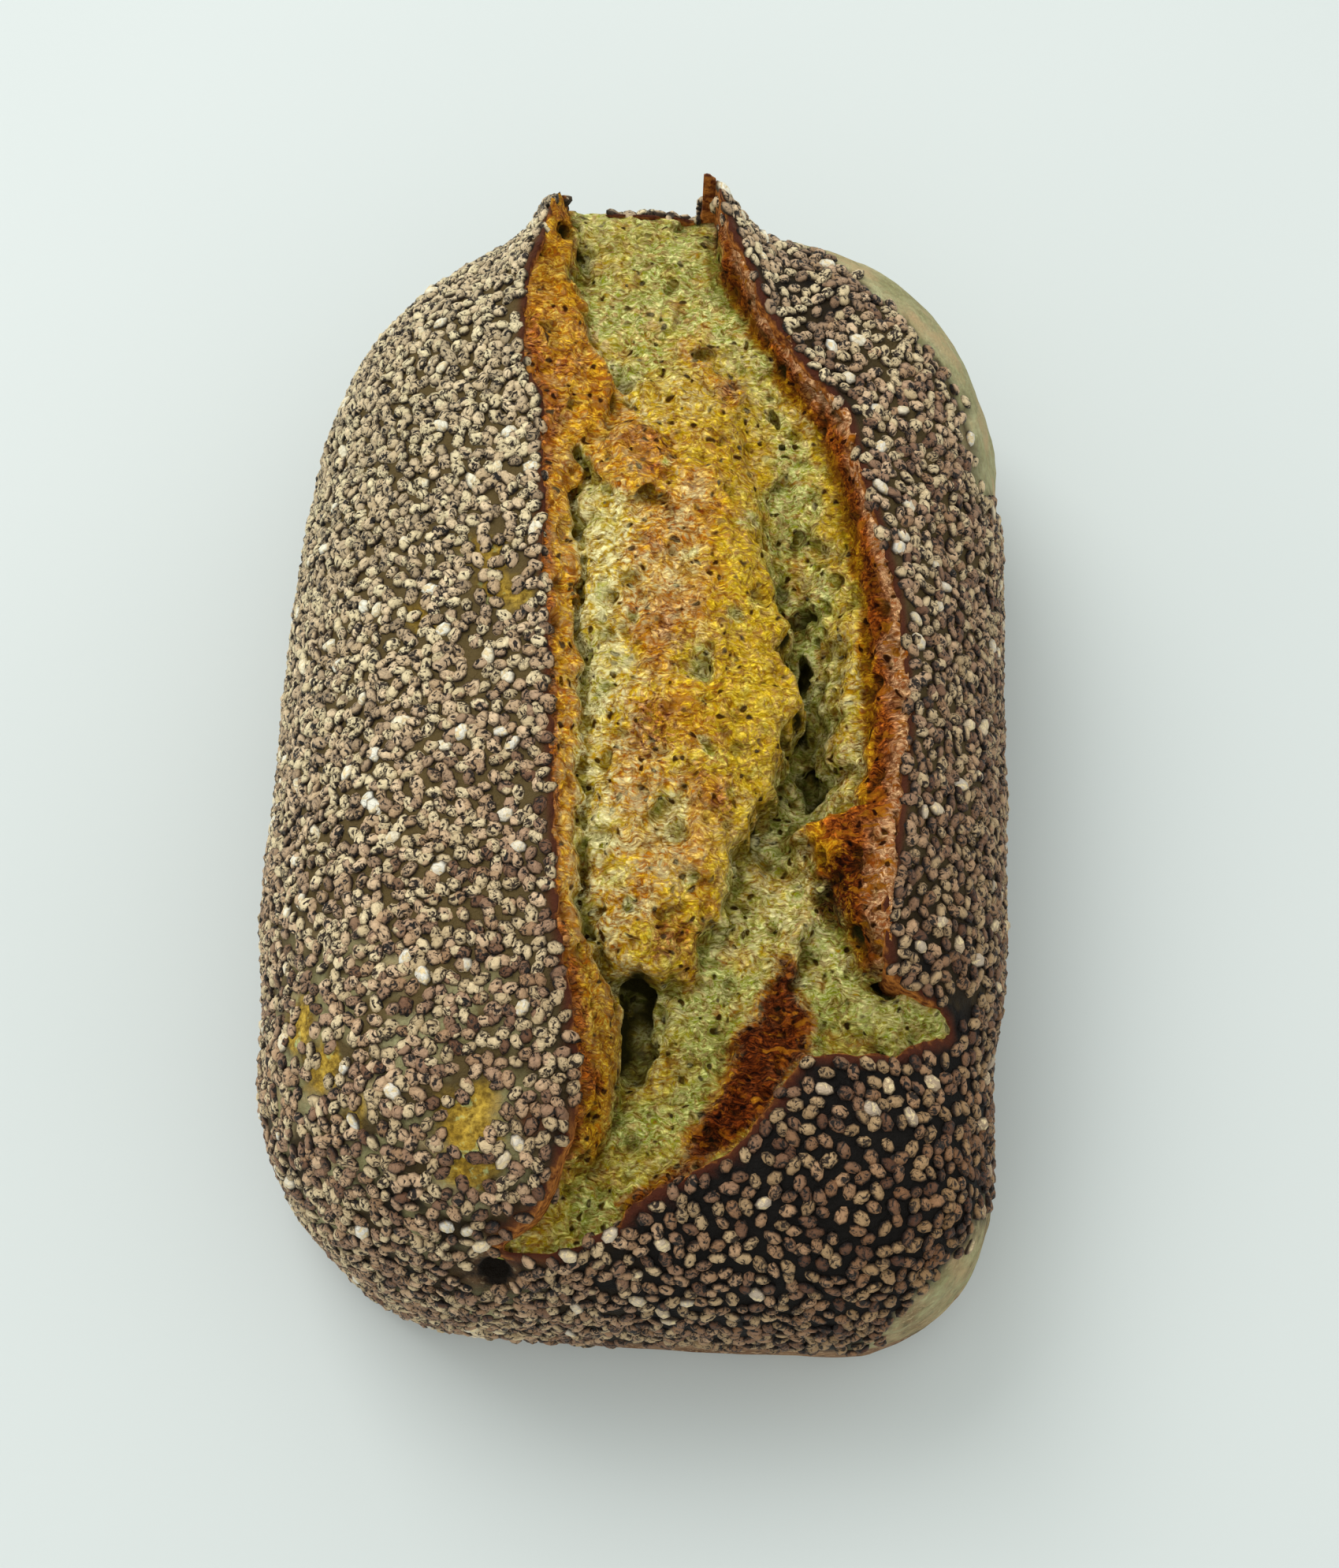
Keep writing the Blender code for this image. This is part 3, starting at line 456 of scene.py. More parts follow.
def add_right_face(plan, height, shoulder):
    """Brown strip below the right lip."""
    axes, y, right_foot = plan.axes, plan.y, plan.right_foot
    slope = np.clip((plan.x - right_foot) / np.maximum(plan.right_lip - right_foot, 0.5), 0.0, 1.2)
    lip_top = plan.crust + np.minimum(along(y, RIGHT_LIP, 2), RIGHT_FACE_TOP_MOST)
    drop = np.clip(lip_top - shoulder, RIGHT_FACE_DROP_LEAST, RIGHT_FACE_DROP_MOST)
    face = lip_top - drop * np.clip(1.0 - slope, 0.0, 1.0) ** 1.3
    face = face + 0.35 * lattice_noise(axes, 2.4, 45) + 0.3 * (plan.small_cells - 0.45)
    streaks = np.sin(7.0 * slope + 2.0 * lattice_noise(axes, 5.0, 46))
    face = face + 0.25 * streaks
    on_right = smooth_step(right_foot - 0.7, right_foot + 0.4, plan.torn_x)
    on_right = on_right * smooth_step(*RIGHT_FACE_END, y)
    return height + (face - height) * on_right, on_right, slope


def crumb_relief(axes, sizes):
    """Height of the torn crumb and the shares of its colours, as plan maps."""
    plan = crumb_plan(axes, sizes)
    x, y = plan.x, plan.y
    floor, shoulder, climb = crumb_floor(plan)
    height, mass = raise_mass(plan, floor)
    height, ridge_orange, flap = raise_ridges(plan, height)
    height, on_left, share = add_left_face(plan, height)
    height, on_right, slope = add_right_face(plan, height, shoulder)
    near_limit = plan.crust + 0.4 + 0.3 * lattice_noise(axes, 2.0, 47)
    height = np.where(y < NEAR_PLATE_Y, np.minimum(height, near_limit), height)
    outside = (x < plan.left_lip) | (x > plan.right_lip)
    height = np.where(outside, np.minimum(height, plan.crust + lip_rise(x, y) - 0.2), height)

    open_blister = np.zeros(x.shape)
    for centre_x, centre_y, radius, depth in BLISTERS:
        reach = blister_reach(plan, centre_x, centre_y, radius)
        open_blister = np.maximum(open_blister, smooth_step(1.0, 0.6, reach) * (depth > 0.0))
    plan.mass, plan.on_left, plan.on_right = mass, on_left, on_right
    plan.flap, plan.ridge_orange, plan.climb, plan.open_blister = flap, ridge_orange, climb, open_blister
    plan.share, plan.slope = share, slope
    plan.wide = lattice_noise(axes, 7.0, 61)
    plan.middle = lattice_noise(axes, 3.4, 64)
    plan.fine = lattice_noise(axes, 1.6, 62)
    maps = crumb_tints(plan)
    maps["height"] = height
    return maps


def gold_share(plan):
    """Where the crumb turned from green to gold."""
    x, y = plan.x, plan.y
    beyond = smooth_step(47.0, 34.0, y)
    gold = 0.12 + 0.3 * plan.wide + 0.25 * plan.middle + 0.15 * plan.fine
    far_band = 0.55 * beyond * smooth_step(24.0, 30.0, y) * smooth_step(2.0, 6.0, x)
    gold = gold + far_band * smooth_step(17.0, 12.0, x)
    gold = gold + 0.9 * beyond * plan.climb * smooth_step(-22.0, -12.0, y)
    gold = gold + plan.mass * (0.3 + 0.5 * smooth_step(-6.5, -1.5, x + 1.4 * plan.middle))
    return gold + 0.25 * smooth_step(-40.0, -60.0, y)


def crown_share(plan):
    """Toasted crown of the central mass."""
    across = smooth_step(-5.5, 0.0, plan.x) * smooth_step(13.5, 6.0, plan.x)
    return plan.mass * across * smooth_step(38.0, 28.0, plan.y)


def caramel_reach(plan):
    """Distance to the caramelised rim of the near plate, negative on it."""
    distance = np.full(plan.x.shape, 99.0)
    for (x1, y1, width1), (x2, y2, width2) in zip(CARAMEL_LINE, CARAMEL_LINE[1:]):
        along_line = np.clip((y1 - plan.y) / (y1 - y2), 0.0, 1.0)
        width = width1 + (width2 - width1) * along_line
        distance = np.minimum(distance, segment_distance(plan.torn_x, plan.torn_y, x1, y1, x2, y2) - width)
    return distance


def orange_share(plan, crown, caramel):
    """Where the crumb is toasted orange: its crests, the faces beside the lips and round the caramel."""
    y, mass, middle, fine = plan.y, plan.mass, plan.middle, plan.fine
    orange = plan.ridge_orange * (0.8 + 0.3 * fine)
    orange = np.maximum(orange, crown * (0.55 + 0.6 * middle + 0.35 * plan.wide + 0.2 * fine))
    near_mass = 0.6 * mass * smooth_step(-14.0, -24.0, y)
    orange = np.maximum(orange, near_mass * smooth_step(-0.5, 0.4, middle + 0.5 * fine))
    patches = 0.35 * (1.0 - mass) * smooth_step(0.35, 0.8, middle + 0.3 * fine)
    orange = np.maximum(orange, patches * smooth_step(60.0, 52.0, y))
    orange = np.maximum(orange, plan.flap * (0.8 + 0.25 * fine))
    orange = np.maximum(orange, plan.on_left * (0.85 + 0.25 * fine))
    orange = np.maximum(orange, plan.on_right * smooth_step(0.75, 0.3, plan.slope + 0.15 * fine))
    orange = np.maximum(orange, 0.7 * plan.on_right)
    return np.maximum(orange, smooth_step(1.2, 0.1, caramel + 0.5 * fine))


def brown_share(plan, crown, caramel):
    """Where the crumb is browned: patches, the rim of the left face and the strip below the right lip."""
    middle, fine, slope = plan.middle, plan.fine, plan.slope
    brown = crown * smooth_step(0.4, 0.95, middle + 0.35 * fine) * 0.45
    for patch_x, patch_y, patch_radius, strength in BROWNED_PATCHES:
        near = np.hypot(plan.torn_x - patch_x, plan.torn_y - patch_y) / patch_radius
        brown = np.maximum(brown, strength * smooth_step(1.2, 0.3, near + 0.35 * fine + 0.35 * middle))
    rim = smooth_step(0.42, 0.08, plan.share + 0.14 * fine) * smooth_step(60.0, 38.0, plan.y)
    brown = np.maximum(brown, plan.on_left * rim * 0.9)
    strip = smooth_step(0.12, 0.34, slope + 0.12 * fine) * smooth_step(0.98, 0.8, slope + 0.08 * middle)
    brown = np.maximum(brown, plan.on_right * strip)
    return np.maximum(brown, smooth_step(0.5, -0.9, caramel + 0.6 * fine))


def pink_share(plan, crown):
    """Where the crumb is pinkish: the top of the right strip and spots on the crown."""
    middle, fine, slope = plan.middle, plan.fine, plan.slope
    pink = plan.on_right * smooth_step(0.7, 0.92, slope + 0.1 * middle) * (0.75 + 0.25 * fine)
    pink = np.maximum(pink, plan.on_right * smooth_step(0.45, 0.75, slope + 0.25 * middle + 0.1 * fine))
    return np.maximum(pink, 0.35 * plan.mass * crown * smooth_step(0.25, 0.7, plan.wide - 0.4 * fine))


def pale_and_painted_light_share(plan, brown, char):
    """Where dry gluten shows cream, with extra cream on the mass's left flank that is painted light."""
    x, y, mass, middle = plan.x, plan.y, plan.mass, plan.middle
    # painted light: the left flank of the mass is made paler
    pale = 0.3 + 0.2 * plan.wide + 0.6 * mass * smooth_step(1.0, -5.0, x + middle)
    pale = pale + 0.25 * smooth_step(20.0, 0.0, y) * (1.0 - mass) * smooth_step(-50.0, -30.0, y)
    pale = pale + 0.35 * mass * smooth_step(-8.0, -22.0, y) * smooth_step(-0.1, 0.5, middle)
    pale = pale * (1.0 - 0.6 * mass * smooth_step(3.0, 9.0, x))
    pale = pale * (1.0 - 0.8 * plan.on_left) * (1.0 - plan.on_right)
    pale = pale * (1.0 - 0.7 * brown) * (1.0 - 0.7 * plan.flap)
    return (pale + 0.35 * plan.open_blister) * (1.0 - char)


def char_share(plan, caramel):
    """Where the crumb is burnt dark."""
    fine, slope = plan.fine, plan.slope
    char = 0.95 * smooth_step(0.9, -0.8, caramel + 0.7 * fine + 0.5 * plan.middle)
    flap_x, flap_y, flap_radius = CARAMEL_FLAP
    reach = np.hypot(plan.torn_x - flap_x, 0.6 * (plan.torn_y - flap_y)) / flap_radius
    char = np.maximum(char, 0.8 * smooth_step(1.1, 0.3, reach))
    strip = 0.3 * plan.on_right * smooth_step(0.2, 0.45, slope) * smooth_step(0.9, 0.6, slope)
    return np.maximum(char, strip)


def painted_shade_share(plan, char):
    """Where the crumb is darker, deep in the split: painted shade at its near end, in the right valley and
    at its far end, none on the char.
    """
    x, y = plan.x, plan.y
    shade = smooth_step(-24.0, -46.0, y) * (0.7 + 0.3 * smooth_step(0.0, 20.0, x))
    shade = shade + 0.1 * smooth_step(40.0, 20.0, y) * (1.0 - plan.mass) * smooth_step(8.0, 14.0, x)
    shade = shade + 0.3 * smooth_step(50.0, 56.0, y)
    return shade * (1.0 - char)


def crumb_tints(plan):
    """Shares of the crumb's colours over its plan."""
    crown = crown_share(plan)
    caramel = caramel_reach(plan)
    brown = brown_share(plan, crown, caramel)
    char = char_share(plan, caramel)
    shares = {
        "gold": gold_share(plan) * (1.0 - 0.8 * plan.open_blister),
        "orange": orange_share(plan, crown, caramel) * (1.0 - 0.9 * plan.open_blister),
        "brown": brown * (1.0 - 0.9 * plan.open_blister),
        "pink": pink_share(plan, crown),
        "pale": pale_and_painted_light_share(plan, brown, char),
        "char": char,
        "shade": painted_shade_share(plan, char),
    }
    return {name: np.clip(value, 0.0, 1.0) for name, value in shares.items()}


CRUMB_TINTS = ("gold", "orange", "brown", "pink", "pale", "char", "shade")
CRUMB_VALUES = CRUMB_TINTS + ("painted_cavity_shade", "raised")
# Browned patches on the crumb: x, y, radius, strength
BROWNED_PATCHES = (
    (-1.8, 30.6, 3.4, 0.6), (1.4, 27.0, 1.8, 0.85), (-0.5, 17.6, 2.6, 0.65), (2.0, 7.1, 3.4, 0.55),
    (1.8, -6.2, 4.0, 0.55), (8.5, 41.5, 2.0, 0.75), (5.5, -31.0, 3.0, 0.6), (9.0, -14.0, 2.4, 0.55),
    (-3.5, -49.0, 2.4, 1.0), (-9.5, 47.0, 2.2, 0.35), (-11.6, 41.5, 2.6, 0.5), (6.5, 64.0, 2.2, 0.6),
    (-13.8, 64.0, 2.0, 0.55),
)
# Burnt middle of the torn flap below the right lip: x, y, radius
CARAMEL_FLAP = (25.2, -23.5, 3.4)
# Caramelised rim of the near seeded plate: x, y, half width
CARAMEL_LINE = (
    (19.2, -32.6, 0.7), (18.6, -38.8, 3.0), (17.2, -42.6, 3.3), (15.1, -47.9, 2.7), (12.1, -53.1, 1.9),
    (9.1, -56.0, 1.0), (6.1, -58.9, 0.6), (1.0, -61.6, 0.4),
)


def body_field(x, y, z, sizes):
    """Below zero inside the body, above zero outside, about in millimetres near its surface."""
    lift = lip_rise(x, y)
    change = top_change(x, y, sizes)
    reach = shoulder_depth(x, y)
    inset = plan_inset(x, y, sizes.half_width, sizes.half_length)
    height_share = np.clip((z - SHOULDER_START) / (sizes.shoulder_top - SHOULDER_START), 0.0, 1.0)
    lowered = z - (change + lift) * height_share ** 2
    share = np.clip((lowered - SHOULDER_START) / (sizes.shoulder_top - SHOULDER_START), 0.0, 2.0)
    depth = np.clip(1.0 - inset / reach, 0.0, 2.0)
    power = SHOULDER_EXPONENT
    size = np.maximum((depth ** power + share ** power) ** (1.0 / power), 1e-6)
    slope_x = (depth / size) ** (power - 1.0) / reach
    slope_z = (share / size) ** (power - 1.0) / (sizes.shoulder_top - SHOULDER_START)
    upper = (size - 1.0) / np.maximum(np.hypot(slope_x, slope_z), 1e-3)
    foot = FOOT_INSET * np.clip(1.0 - z / FOOT_HEIGHT, 0.0, 1.0) ** 2
    return np.where(z > SHOULDER_START, upper, np.maximum(foot - inset, -z))


def radii_away(x, y, z, centre, radii):
    """Distance from an ellipsoid's centre in its radii."""
    return np.sqrt(sum(((a - c) / r) ** 2 for a, c, r in zip((x, y, z), centre, radii)))


def ellipsoid_field(x, y, z, centre, radii):
    """Below zero inside an ellipsoid."""
    return (radii_away(x, y, z, centre, radii) - 1.0) * min(radii)


def mesh_from_field(name, field, origin, cell):
    """Closed mesh object, in metres, of the zero surface of a field sampled on a grid in millimetres."""
    grid = openvdb.FloatGrid(3.0 * cell)
    grid.copyFromArray(np.ascontiguousarray(field, dtype=np.float32))
    points, triangles, quads = grid.convertToPolygons(isovalue=0.0, adaptivity=0.02)
    points = (points * cell + np.array(origin)) * METRES_PER_MM
    mesh = bpy.data.meshes.new(name)
    mesh.from_pydata(points.tolist(), [], triangles.tolist() + quads.tolist())
    piece = bpy.data.objects.new(name, mesh)
    bpy.context.scene.collection.objects.link(piece)
    tidy_mesh(piece)
    return piece


def tidy_mesh(piece):
    """Keep the largest shell, weld doubles and point faces outwards."""
    work = bmesh.new()
    work.from_mesh(piece.data)
    bmesh.ops.remove_doubles(work, verts=work.verts, dist=1e-7)
    waiting = set(work.verts)
    shells = []
    while waiting:
        start = waiting.pop()
        shell = [start]
        for vertex in shell:
            for edge in vertex.link_edges:
                other = edge.other_vert(vertex)
                if other in waiting:
                    waiting.remove(other)
                    shell.append(other)
        shells.append(shell)
    largest = max(shells, key=len)
    loose = [v for shell in shells if shell is not largest for v in shell]
    bmesh.ops.delete(work, geom=loose, context="VERTS")
    if work.calc_volume(signed=True) < 0.0:
        bmesh.ops.reverse_faces(work, faces=work.faces)
    for face in work.faces:
        face.smooth = True
    work.to_mesh(piece.data)
    work.free()


def vertex_places(piece):
    """Vertex positions in millimetres."""
    places = np.zeros(len(piece.data.vertices) * 3, np.float32)
    piece.data.vertices.foreach_get("co", places)
    return places.reshape(-1, 3) / METRES_PER_MM


def store_values(piece, name, values):
    """Keep one number for each vertex."""
    attribute = piece.data.attributes.new(name, "FLOAT", "POINT")
    attribute.data.foreach_set("value", np.asarray(values, np.float32))


def sample_map(plan_map, axes, x, y):
    """Plan map values at points, blended between grid samples."""
    step = axes[0][1] - axes[0][0]
    column = np.clip((x - axes[0][0]) / step, 0.0, len(axes[0]) - 1.001)
    row = np.clip((y - axes[1][0]) / step, 0.0, len(axes[1]) - 1.001)
    i = column.astype(int)
    j = row.astype(int)
    u = column - i
    v = row - j
    near = plan_map[i, j] * (1.0 - u) + plan_map[i + 1, j] * u
    far = plan_map[i, j + 1] * (1.0 - u) + plan_map[i + 1, j + 1] * u
    return near * (1.0 - v) + far * v


def build_crumb(sizes):
    """Torn crumb with true overhangs, pores and hollows."""
    cell = sizes.crumb_detail
    axes = tuple(np.arange(low, high, cell) for low, high in CRUMB_BOX)
    plan = axes[:2]
    maps = crumb_relief(plan, sizes)
    x, y = np.meshgrid(plan[0], plan[1], indexing="ij")
    edge = outline_distance(x, y, split_outline()) - 0.7
    shift_x = 0.9 * lattice_noise(axes, 2.6, 71) + 0.35 * lattice_noise(axes, 1.0, 72)
    shift_y = 0.9 * lattice_noise(axes, 2.6, 73) + 0.35 * lattice_noise(axes, 1.0, 74)
    column = np.arange(len(axes[0]))[:, None, None] + shift_x / cell
    column = np.clip(column, 0, len(axes[0]) - 1).astype(np.int32)
    row = np.arange(len(axes[1]))[None, :, None] + shift_y / cell
    row = np.clip(row, 0, len(axes[1]) - 1).astype(np.int32)
    z = axes[2].astype(np.float32)[None, None, :]
    level = maps["height"].astype(np.float32)
    height = 0.5 * (level[column, row] + level[:, :, None])
    field = (z - height) * 0.75
    strands = np.abs(lattice_noise(axes, 2.3, 75)) + 0.6 * np.abs(lattice_noise(axes, 1.1, 76))
    field += 0.5 * (strands - 0.35) + 0.2 * lattice_noise(axes, 0.8, 77)
    full_x = x[:, :, None] + 1.2 * shift_x
    full_y = y[:, :, None] + 1.2 * shift_y
    for centre, radii in (*HOLLOWS, CRUST_HOLE):
        field = np.maximum(field, -ellipsoid_field(full_x, full_y, z, centre, radii))
    carve_pores(field, (full_x, full_y, z), axes, maps["height"], cell)
    field = np.maximum(field, edge[:, :, None])
    field = np.maximum(field, CRUMB_BOTTOM - z)
    crumb = mesh_from_field("torn_crumb", field, [a[0] for a in axes], cell)
    places = vertex_places(crumb)
    for name in CRUMB_TINTS:
        store_values(crumb, name, sample_map(maps[name], plan, places[:, 0], places[:, 1]))
    surface = sample_map(maps["height"], plan, places[:, 0], places[:, 1])
    # painted shade: how far each vertex lies below the crumb's surface, to darken its pits near black
    store_values(crumb, "painted_cavity_shade", np.clip((surface - places[:, 2] - 0.8) / 2.4, 0.0, 1.0))
    store_values(crumb, "raised", np.clip(0.5 + raised_above(places, plan, cell) / 1.5, 0.0, 1.0))
    return crumb


def box_blur(values, reach):
    """Mean over a square of samples, twice."""
    for axis in (0, 1, 0, 1):
        padding = [(reach + 1, reach) if number == axis else (0, 0) for number in range(2)]
        total = np.cumsum(np.pad(values, padding, mode="edge"), axis=axis)
        count = values.shape[axis]
        width = 2 * reach + 1
        upper = np.take(total, np.arange(width, width + count), axis=axis)
        lower = np.take(total, np.arange(0, count), axis=axis)
        values = (upper - lower) / width
    return values


def raised_above(places, plan, cell):
    """How far each vertex stands above the surface around it, in millimetres."""
    column = ((places[:, 0] - plan[0][0]) / cell).astype(int)
    row = ((places[:, 1] - plan[1][0]) / cell).astype(int)
    top = np.full((len(plan[0]), len(plan[1])), CRUMB_BOTTOM)
    np.maximum.at(top, (column, row), places[:, 2])
    around = box_blur(top, max(1, int(1.1 / cell)))
    return places[:, 2] - sample_map(around, plan, places[:, 0], places[:, 1])


def carve_pores(field, bent, axes, height, cell):
    """Sink small irregular pores into the crumb's surface."""
    bent_x, bent_y, _ = bent
    generator = np.random.default_rng(81)
    count = PORE_COUNT
    for _ in range(count):
        i = generator.integers(8, len(axes[0]) - 8)
        j = generator.integers(8, len(axes[1]) - 8)
        radius = 0.3 + 1.1 * generator.random() ** 7
        sink = generator.uniform(-0.75, 0.1) * radius
        stretch_x, stretch_y = generator.uniform(0.6, 1.0, size=2)
        reach = int(1.7 * radius / cell) + 3
        k = int((height[i, j] - sink - axes[2][0]) / cell)
        window = tuple(slice(max(c - reach, 0), c + reach + 1) for c in (i, j, k))
        px = bent_x[window] - axes[0][i]
        py = bent_y[window] - axes[1][j]
        pz = axes[2][window[2]][None, None, :] - height[i, j] + sink
        ball = radius - np.sqrt((stretch_x * px) ** 2 + (stretch_y * py) ** 2 + pz ** 2)
        field[window] = np.maximum(field[window], ball)


def build_crust(sizes):
    """Baked crust shell with lifted lips, opened along the split."""
    cell = sizes.crust_detail
    axes = tuple(np.arange(low, high, cell) for low, high in CRUST_BOX)
    x, y = np.meshgrid(axes[0], axes[1], indexing="ij")
    z = axes[2][None, None, :]
    field = body_field(x[:, :, None], y[:, :, None], z, sizes).astype(np.float32)
    relief = LUMP_HEIGHT * lattice_noise(axes, LUMP_LENGTH, 91) + 0.3 * lattice_noise(axes, 6.0, 92)
    relief = relief + 0.18 * lattice_noise(axes, 2.2, 93)
    field = field + relief * smooth_step(1.0, 6.0, z)
    opening = outline_distance(x, y, split_outline()) + 0.15 + ragged(axes[:2], 2.2, 0.45, 94)
    in_split = np.maximum(opening[:, :, None], CRUMB_BOTTOM + 3.0 - z)
    field = np.maximum(field, -in_split)
    field = np.maximum(field, -ellipsoid_field(x[:, :, None], y[:, :, None], z, *CRUST_HOLE))
    field = np.maximum(field, -z)
    crust = mesh_from_field("baked_crust", field, [a[0] for a in axes], cell)
    paint_crust(crust, sizes)
    return crust


def crust_points(crust, sizes):
    """The crust's vertices with their slopes, distances and random unevenness."""
    x, y, z = vertex_places(crust).T
    points = SimpleNamespace(x=x, y=y, z=z)
    points.opening = outline_distance(x, y, split_outline())
    points.patchy = np.random.default_rng(97).uniform(-1.0, 1.0, size=len(x))
    plan = tuple(np.arange(low, high, 0.5) for low, high in CRUST_BOX[:2])
    points.torn_edge = sample_map(ragged(plan, 3.6, 1.0, 99), plan, x, y)
    normals = np.zeros(len(x) * 3, np.float32)
    crust.data.vertices.foreach_get("normal", normals)
    points.up = normals.reshape(-1, 3)[:, 2]
    points.inset = plan_inset(x, y, sizes.half_width, sizes.half_length)
    points.hole_reach = radii_away(x, y, z, *CRUST_HOLE)
    long_wave = 2.2 * np.sin(z / 3.1 + y / 2.3)
    points.wave = long_wave + 1.4 * np.sin(z / 1.7 - y / 1.9 + x / 2.7) + 0.8 * points.patchy
    return points


def rim_share(points):
    """Dark baked edge along the split and the reddened skin beside it."""
    rim = smooth_step(1.5, 0.5, points.opening) * (points.z > CRUMB_BOTTOM)
    red_x, red_y, red_radius = REDDENED_SKIN
    red_reach = np.hypot(points.x - red_x, points.y - red_y) / red_radius
    return np.maximum(rim, smooth_step(1.1, 0.6, red_reach + 0.3 * points.torn_edge))


def bare_far_share(points):
    """Bare crust on the far right shoulder."""
    limit = np.interp(points.x, [p[0] for p in BARE_INSET_FAR], [p[1] for p in BARE_INSET_FAR])
    bare = smooth_step(limit + 0.4, limit - 0.6, points.inset + 0.5 * points.patchy)
    bare = bare * smooth_step(35.0, 37.0, points.y + points.wave)
    bare = bare * smooth_step(5.0, 7.0, points.x + points.wave)
    return bare * smooth_step(11.0, 13.0, points.z + 1.2 * points.wave)


def bare_near_share(points):
    """Bare crust low on the near right corner."""
    limit = np.interp(points.x, [p[0] for p in BARE_LIMIT_NEAR], [p[1] for p in BARE_LIMIT_NEAR])
    bare = smooth_step(limit + 1.0, limit - 1.0, points.z + 0.8 * points.patchy)
    bare = bare * smooth_step(27.0, 34.0, points.x)
    return bare * smooth_step(-53.0, -55.0, points.y + 0.7 * points.wave)


def base_share(points):
    """Pinkish band round the base, taller at the near right."""
    near = smooth_step(-58.0, -68.0, points.y) * smooth_step(-25.0, 10.0, points.x)
    top = BASE_BAND_HEIGHT + BASE_BAND_NEAR_RISE * near
    return smooth_step(top + 1.0, top - 1.0, points.z + 0.6 * points.patchy)


def mustard_share(points):
    """Mustard skin that shows between the seeds."""
    mustard = np.zeros(len(points.x))
    for patch_x, patch_y, radius_x, radius_y in MUSTARD_PATCHES:
        reach = np.hypot((points.x - patch_x) / radius_x, (points.y - patch_y) / radius_y)
        mustard = np.maximum(mustard, smooth_step(1.2, 0.8, reach + 0.3 * points.torn_edge))
    return mustard


def seed_shares(points, bare_far, bare_near, base, mustard):
    """Where seeds lie: over all the crust, heaped on the left, and with gaps on the near right plate."""
    x, y, z, patchy = points.x, points.y, points.z, points.patchy
    thin = 0.3 * smooth_step(-30.0, -37.0, x) * smooth_step(-22.0, -32.0, y) * smooth_step(-62.0, -50.0, y)
    ear_tip = smooth_step(8.0, 10.5, lip_rise(x, y))
    strip_edge = smooth_step(1.2, 0.2, points.opening + 0.4 * patchy) * (x > 12.0) * (y < 50.0)
    cover = smooth_step(-0.1, 0.35, points.opening) * (1.0 - 0.5 * strip_edge) * (1.0 - 0.7 * ear_tip)
    cover = cover * (1.0 - bare_far) * (1.0 - bare_near) * (1.0 - base) * (1.0 - 0.75 * mustard)
    cover = cover * (1.0 - thin) * (1.0 - smooth_step(1.6, 1.4, points.hole_reach)) * (points.up > -0.6)
    plate = smooth_step(-3.0, 4.0, x + 2.0 * patchy) * smooth_step(-34.0, -37.0, y + patchy)
    plate = plate * smooth_step(12.0, 20.0, z)
    heap_left = cover * smooth_step(-2.0, -14.0, x) * smooth_step(-66.0, -40.0, y)
    heap_right = 0.6 * cover * smooth_step(22.0, 30.0, x) * smooth_step(-30.0, -10.0, y)
    return cover * (1.0 - plate), np.maximum(heap_left, heap_right), cover * plate


def thin_dough_share(points):
    """Pale dough that shows between the seeds at the near left."""
    share = smooth_step(-6.0, -14.0, points.x) * smooth_step(-28.0, -40.0, points.y)
    share = 0.8 * share * smooth_step(20.0, 26.0, points.z)
    return share * smooth_step(-0.1, 0.5, points.torn_edge + 0.2 * points.patchy)


def paint_crust(crust, sizes):
    """Where seeds cover the crust, and where it is torn, bare, mustard or pinkish, with painted shade inside
    its small opening.
    """
    points = crust_points(crust, sizes)
    bare_far = bare_far_share(points)
    bare_near = bare_near_share(points)
    base = base_share(points)
    mustard = mustard_share(points)
    seed_cover, seed_heap, seed_plate = seed_shares(points, bare_far, bare_near, base, mustard)
    steep = smooth_step(0.75, 0.35, points.up)
    mottled = bare_near * (0.4 + 0.3 * points.patchy + 0.3 * points.torn_edge)
    hole_ring = 0.4 * smooth_step(1.9, 1.5, points.hole_reach)
    shares = {
        "seed_cover": seed_cover,
        "seed_heap": seed_heap,
        "seed_plate": seed_plate,
        "bare": np.maximum(bare_far, np.maximum(bare_near, thin_dough_share(points))),
        "mustard": mustard,
        "base": np.maximum(base, np.maximum(mottled, hole_ring)),
        "torn": smooth_step(0.9, 0.3, points.opening) * steep * (points.z > CRUMB_BOTTOM),
        "rim": rim_share(points),
        # painted shade: near black inside the small opening through the crust
        "painted_hole_shade": smooth_step(1.25, 1.1, points.hole_reach),
    }
    for name, values in shares.items():
        store_values(crust, name, np.clip(values, 0.0, 1.0))


# Height of the pinkish band at the base, and how much taller it is at the near right
BASE_BAND_HEIGHT = 5.0
BASE_BAND_NEAR_RISE = 9.5
CRUST_VALUES = ("bare", "mustard", "base", "torn", "rim", "painted_hole_shade", "seed_heap", "seed_plate")
# Bare crust on the far right shoulder, x and inset, and at the near right corner, x and highest z
BARE_INSET_FAR = (
    (6.0, 1.5), (10.0, 4.8), (14.0, 7.4), (20.0, 9.8), (23.0, 11.2), (28.0, 12.4),
    (33.0, 11.2), (39.5, 6.8), (43.0, 4.2), (47.0, 1.8),
)
BARE_LIMIT_NEAR = ((26.0, 12.0), (34.9, 30.0), (39.5, 33.0), (43.1, 31.0), (46.0, 24.0))
# Reddened skin beside the near end of the left lip: x, y, radius
REDDENED_SKIN = (-9.2, -54.5, 3.6)
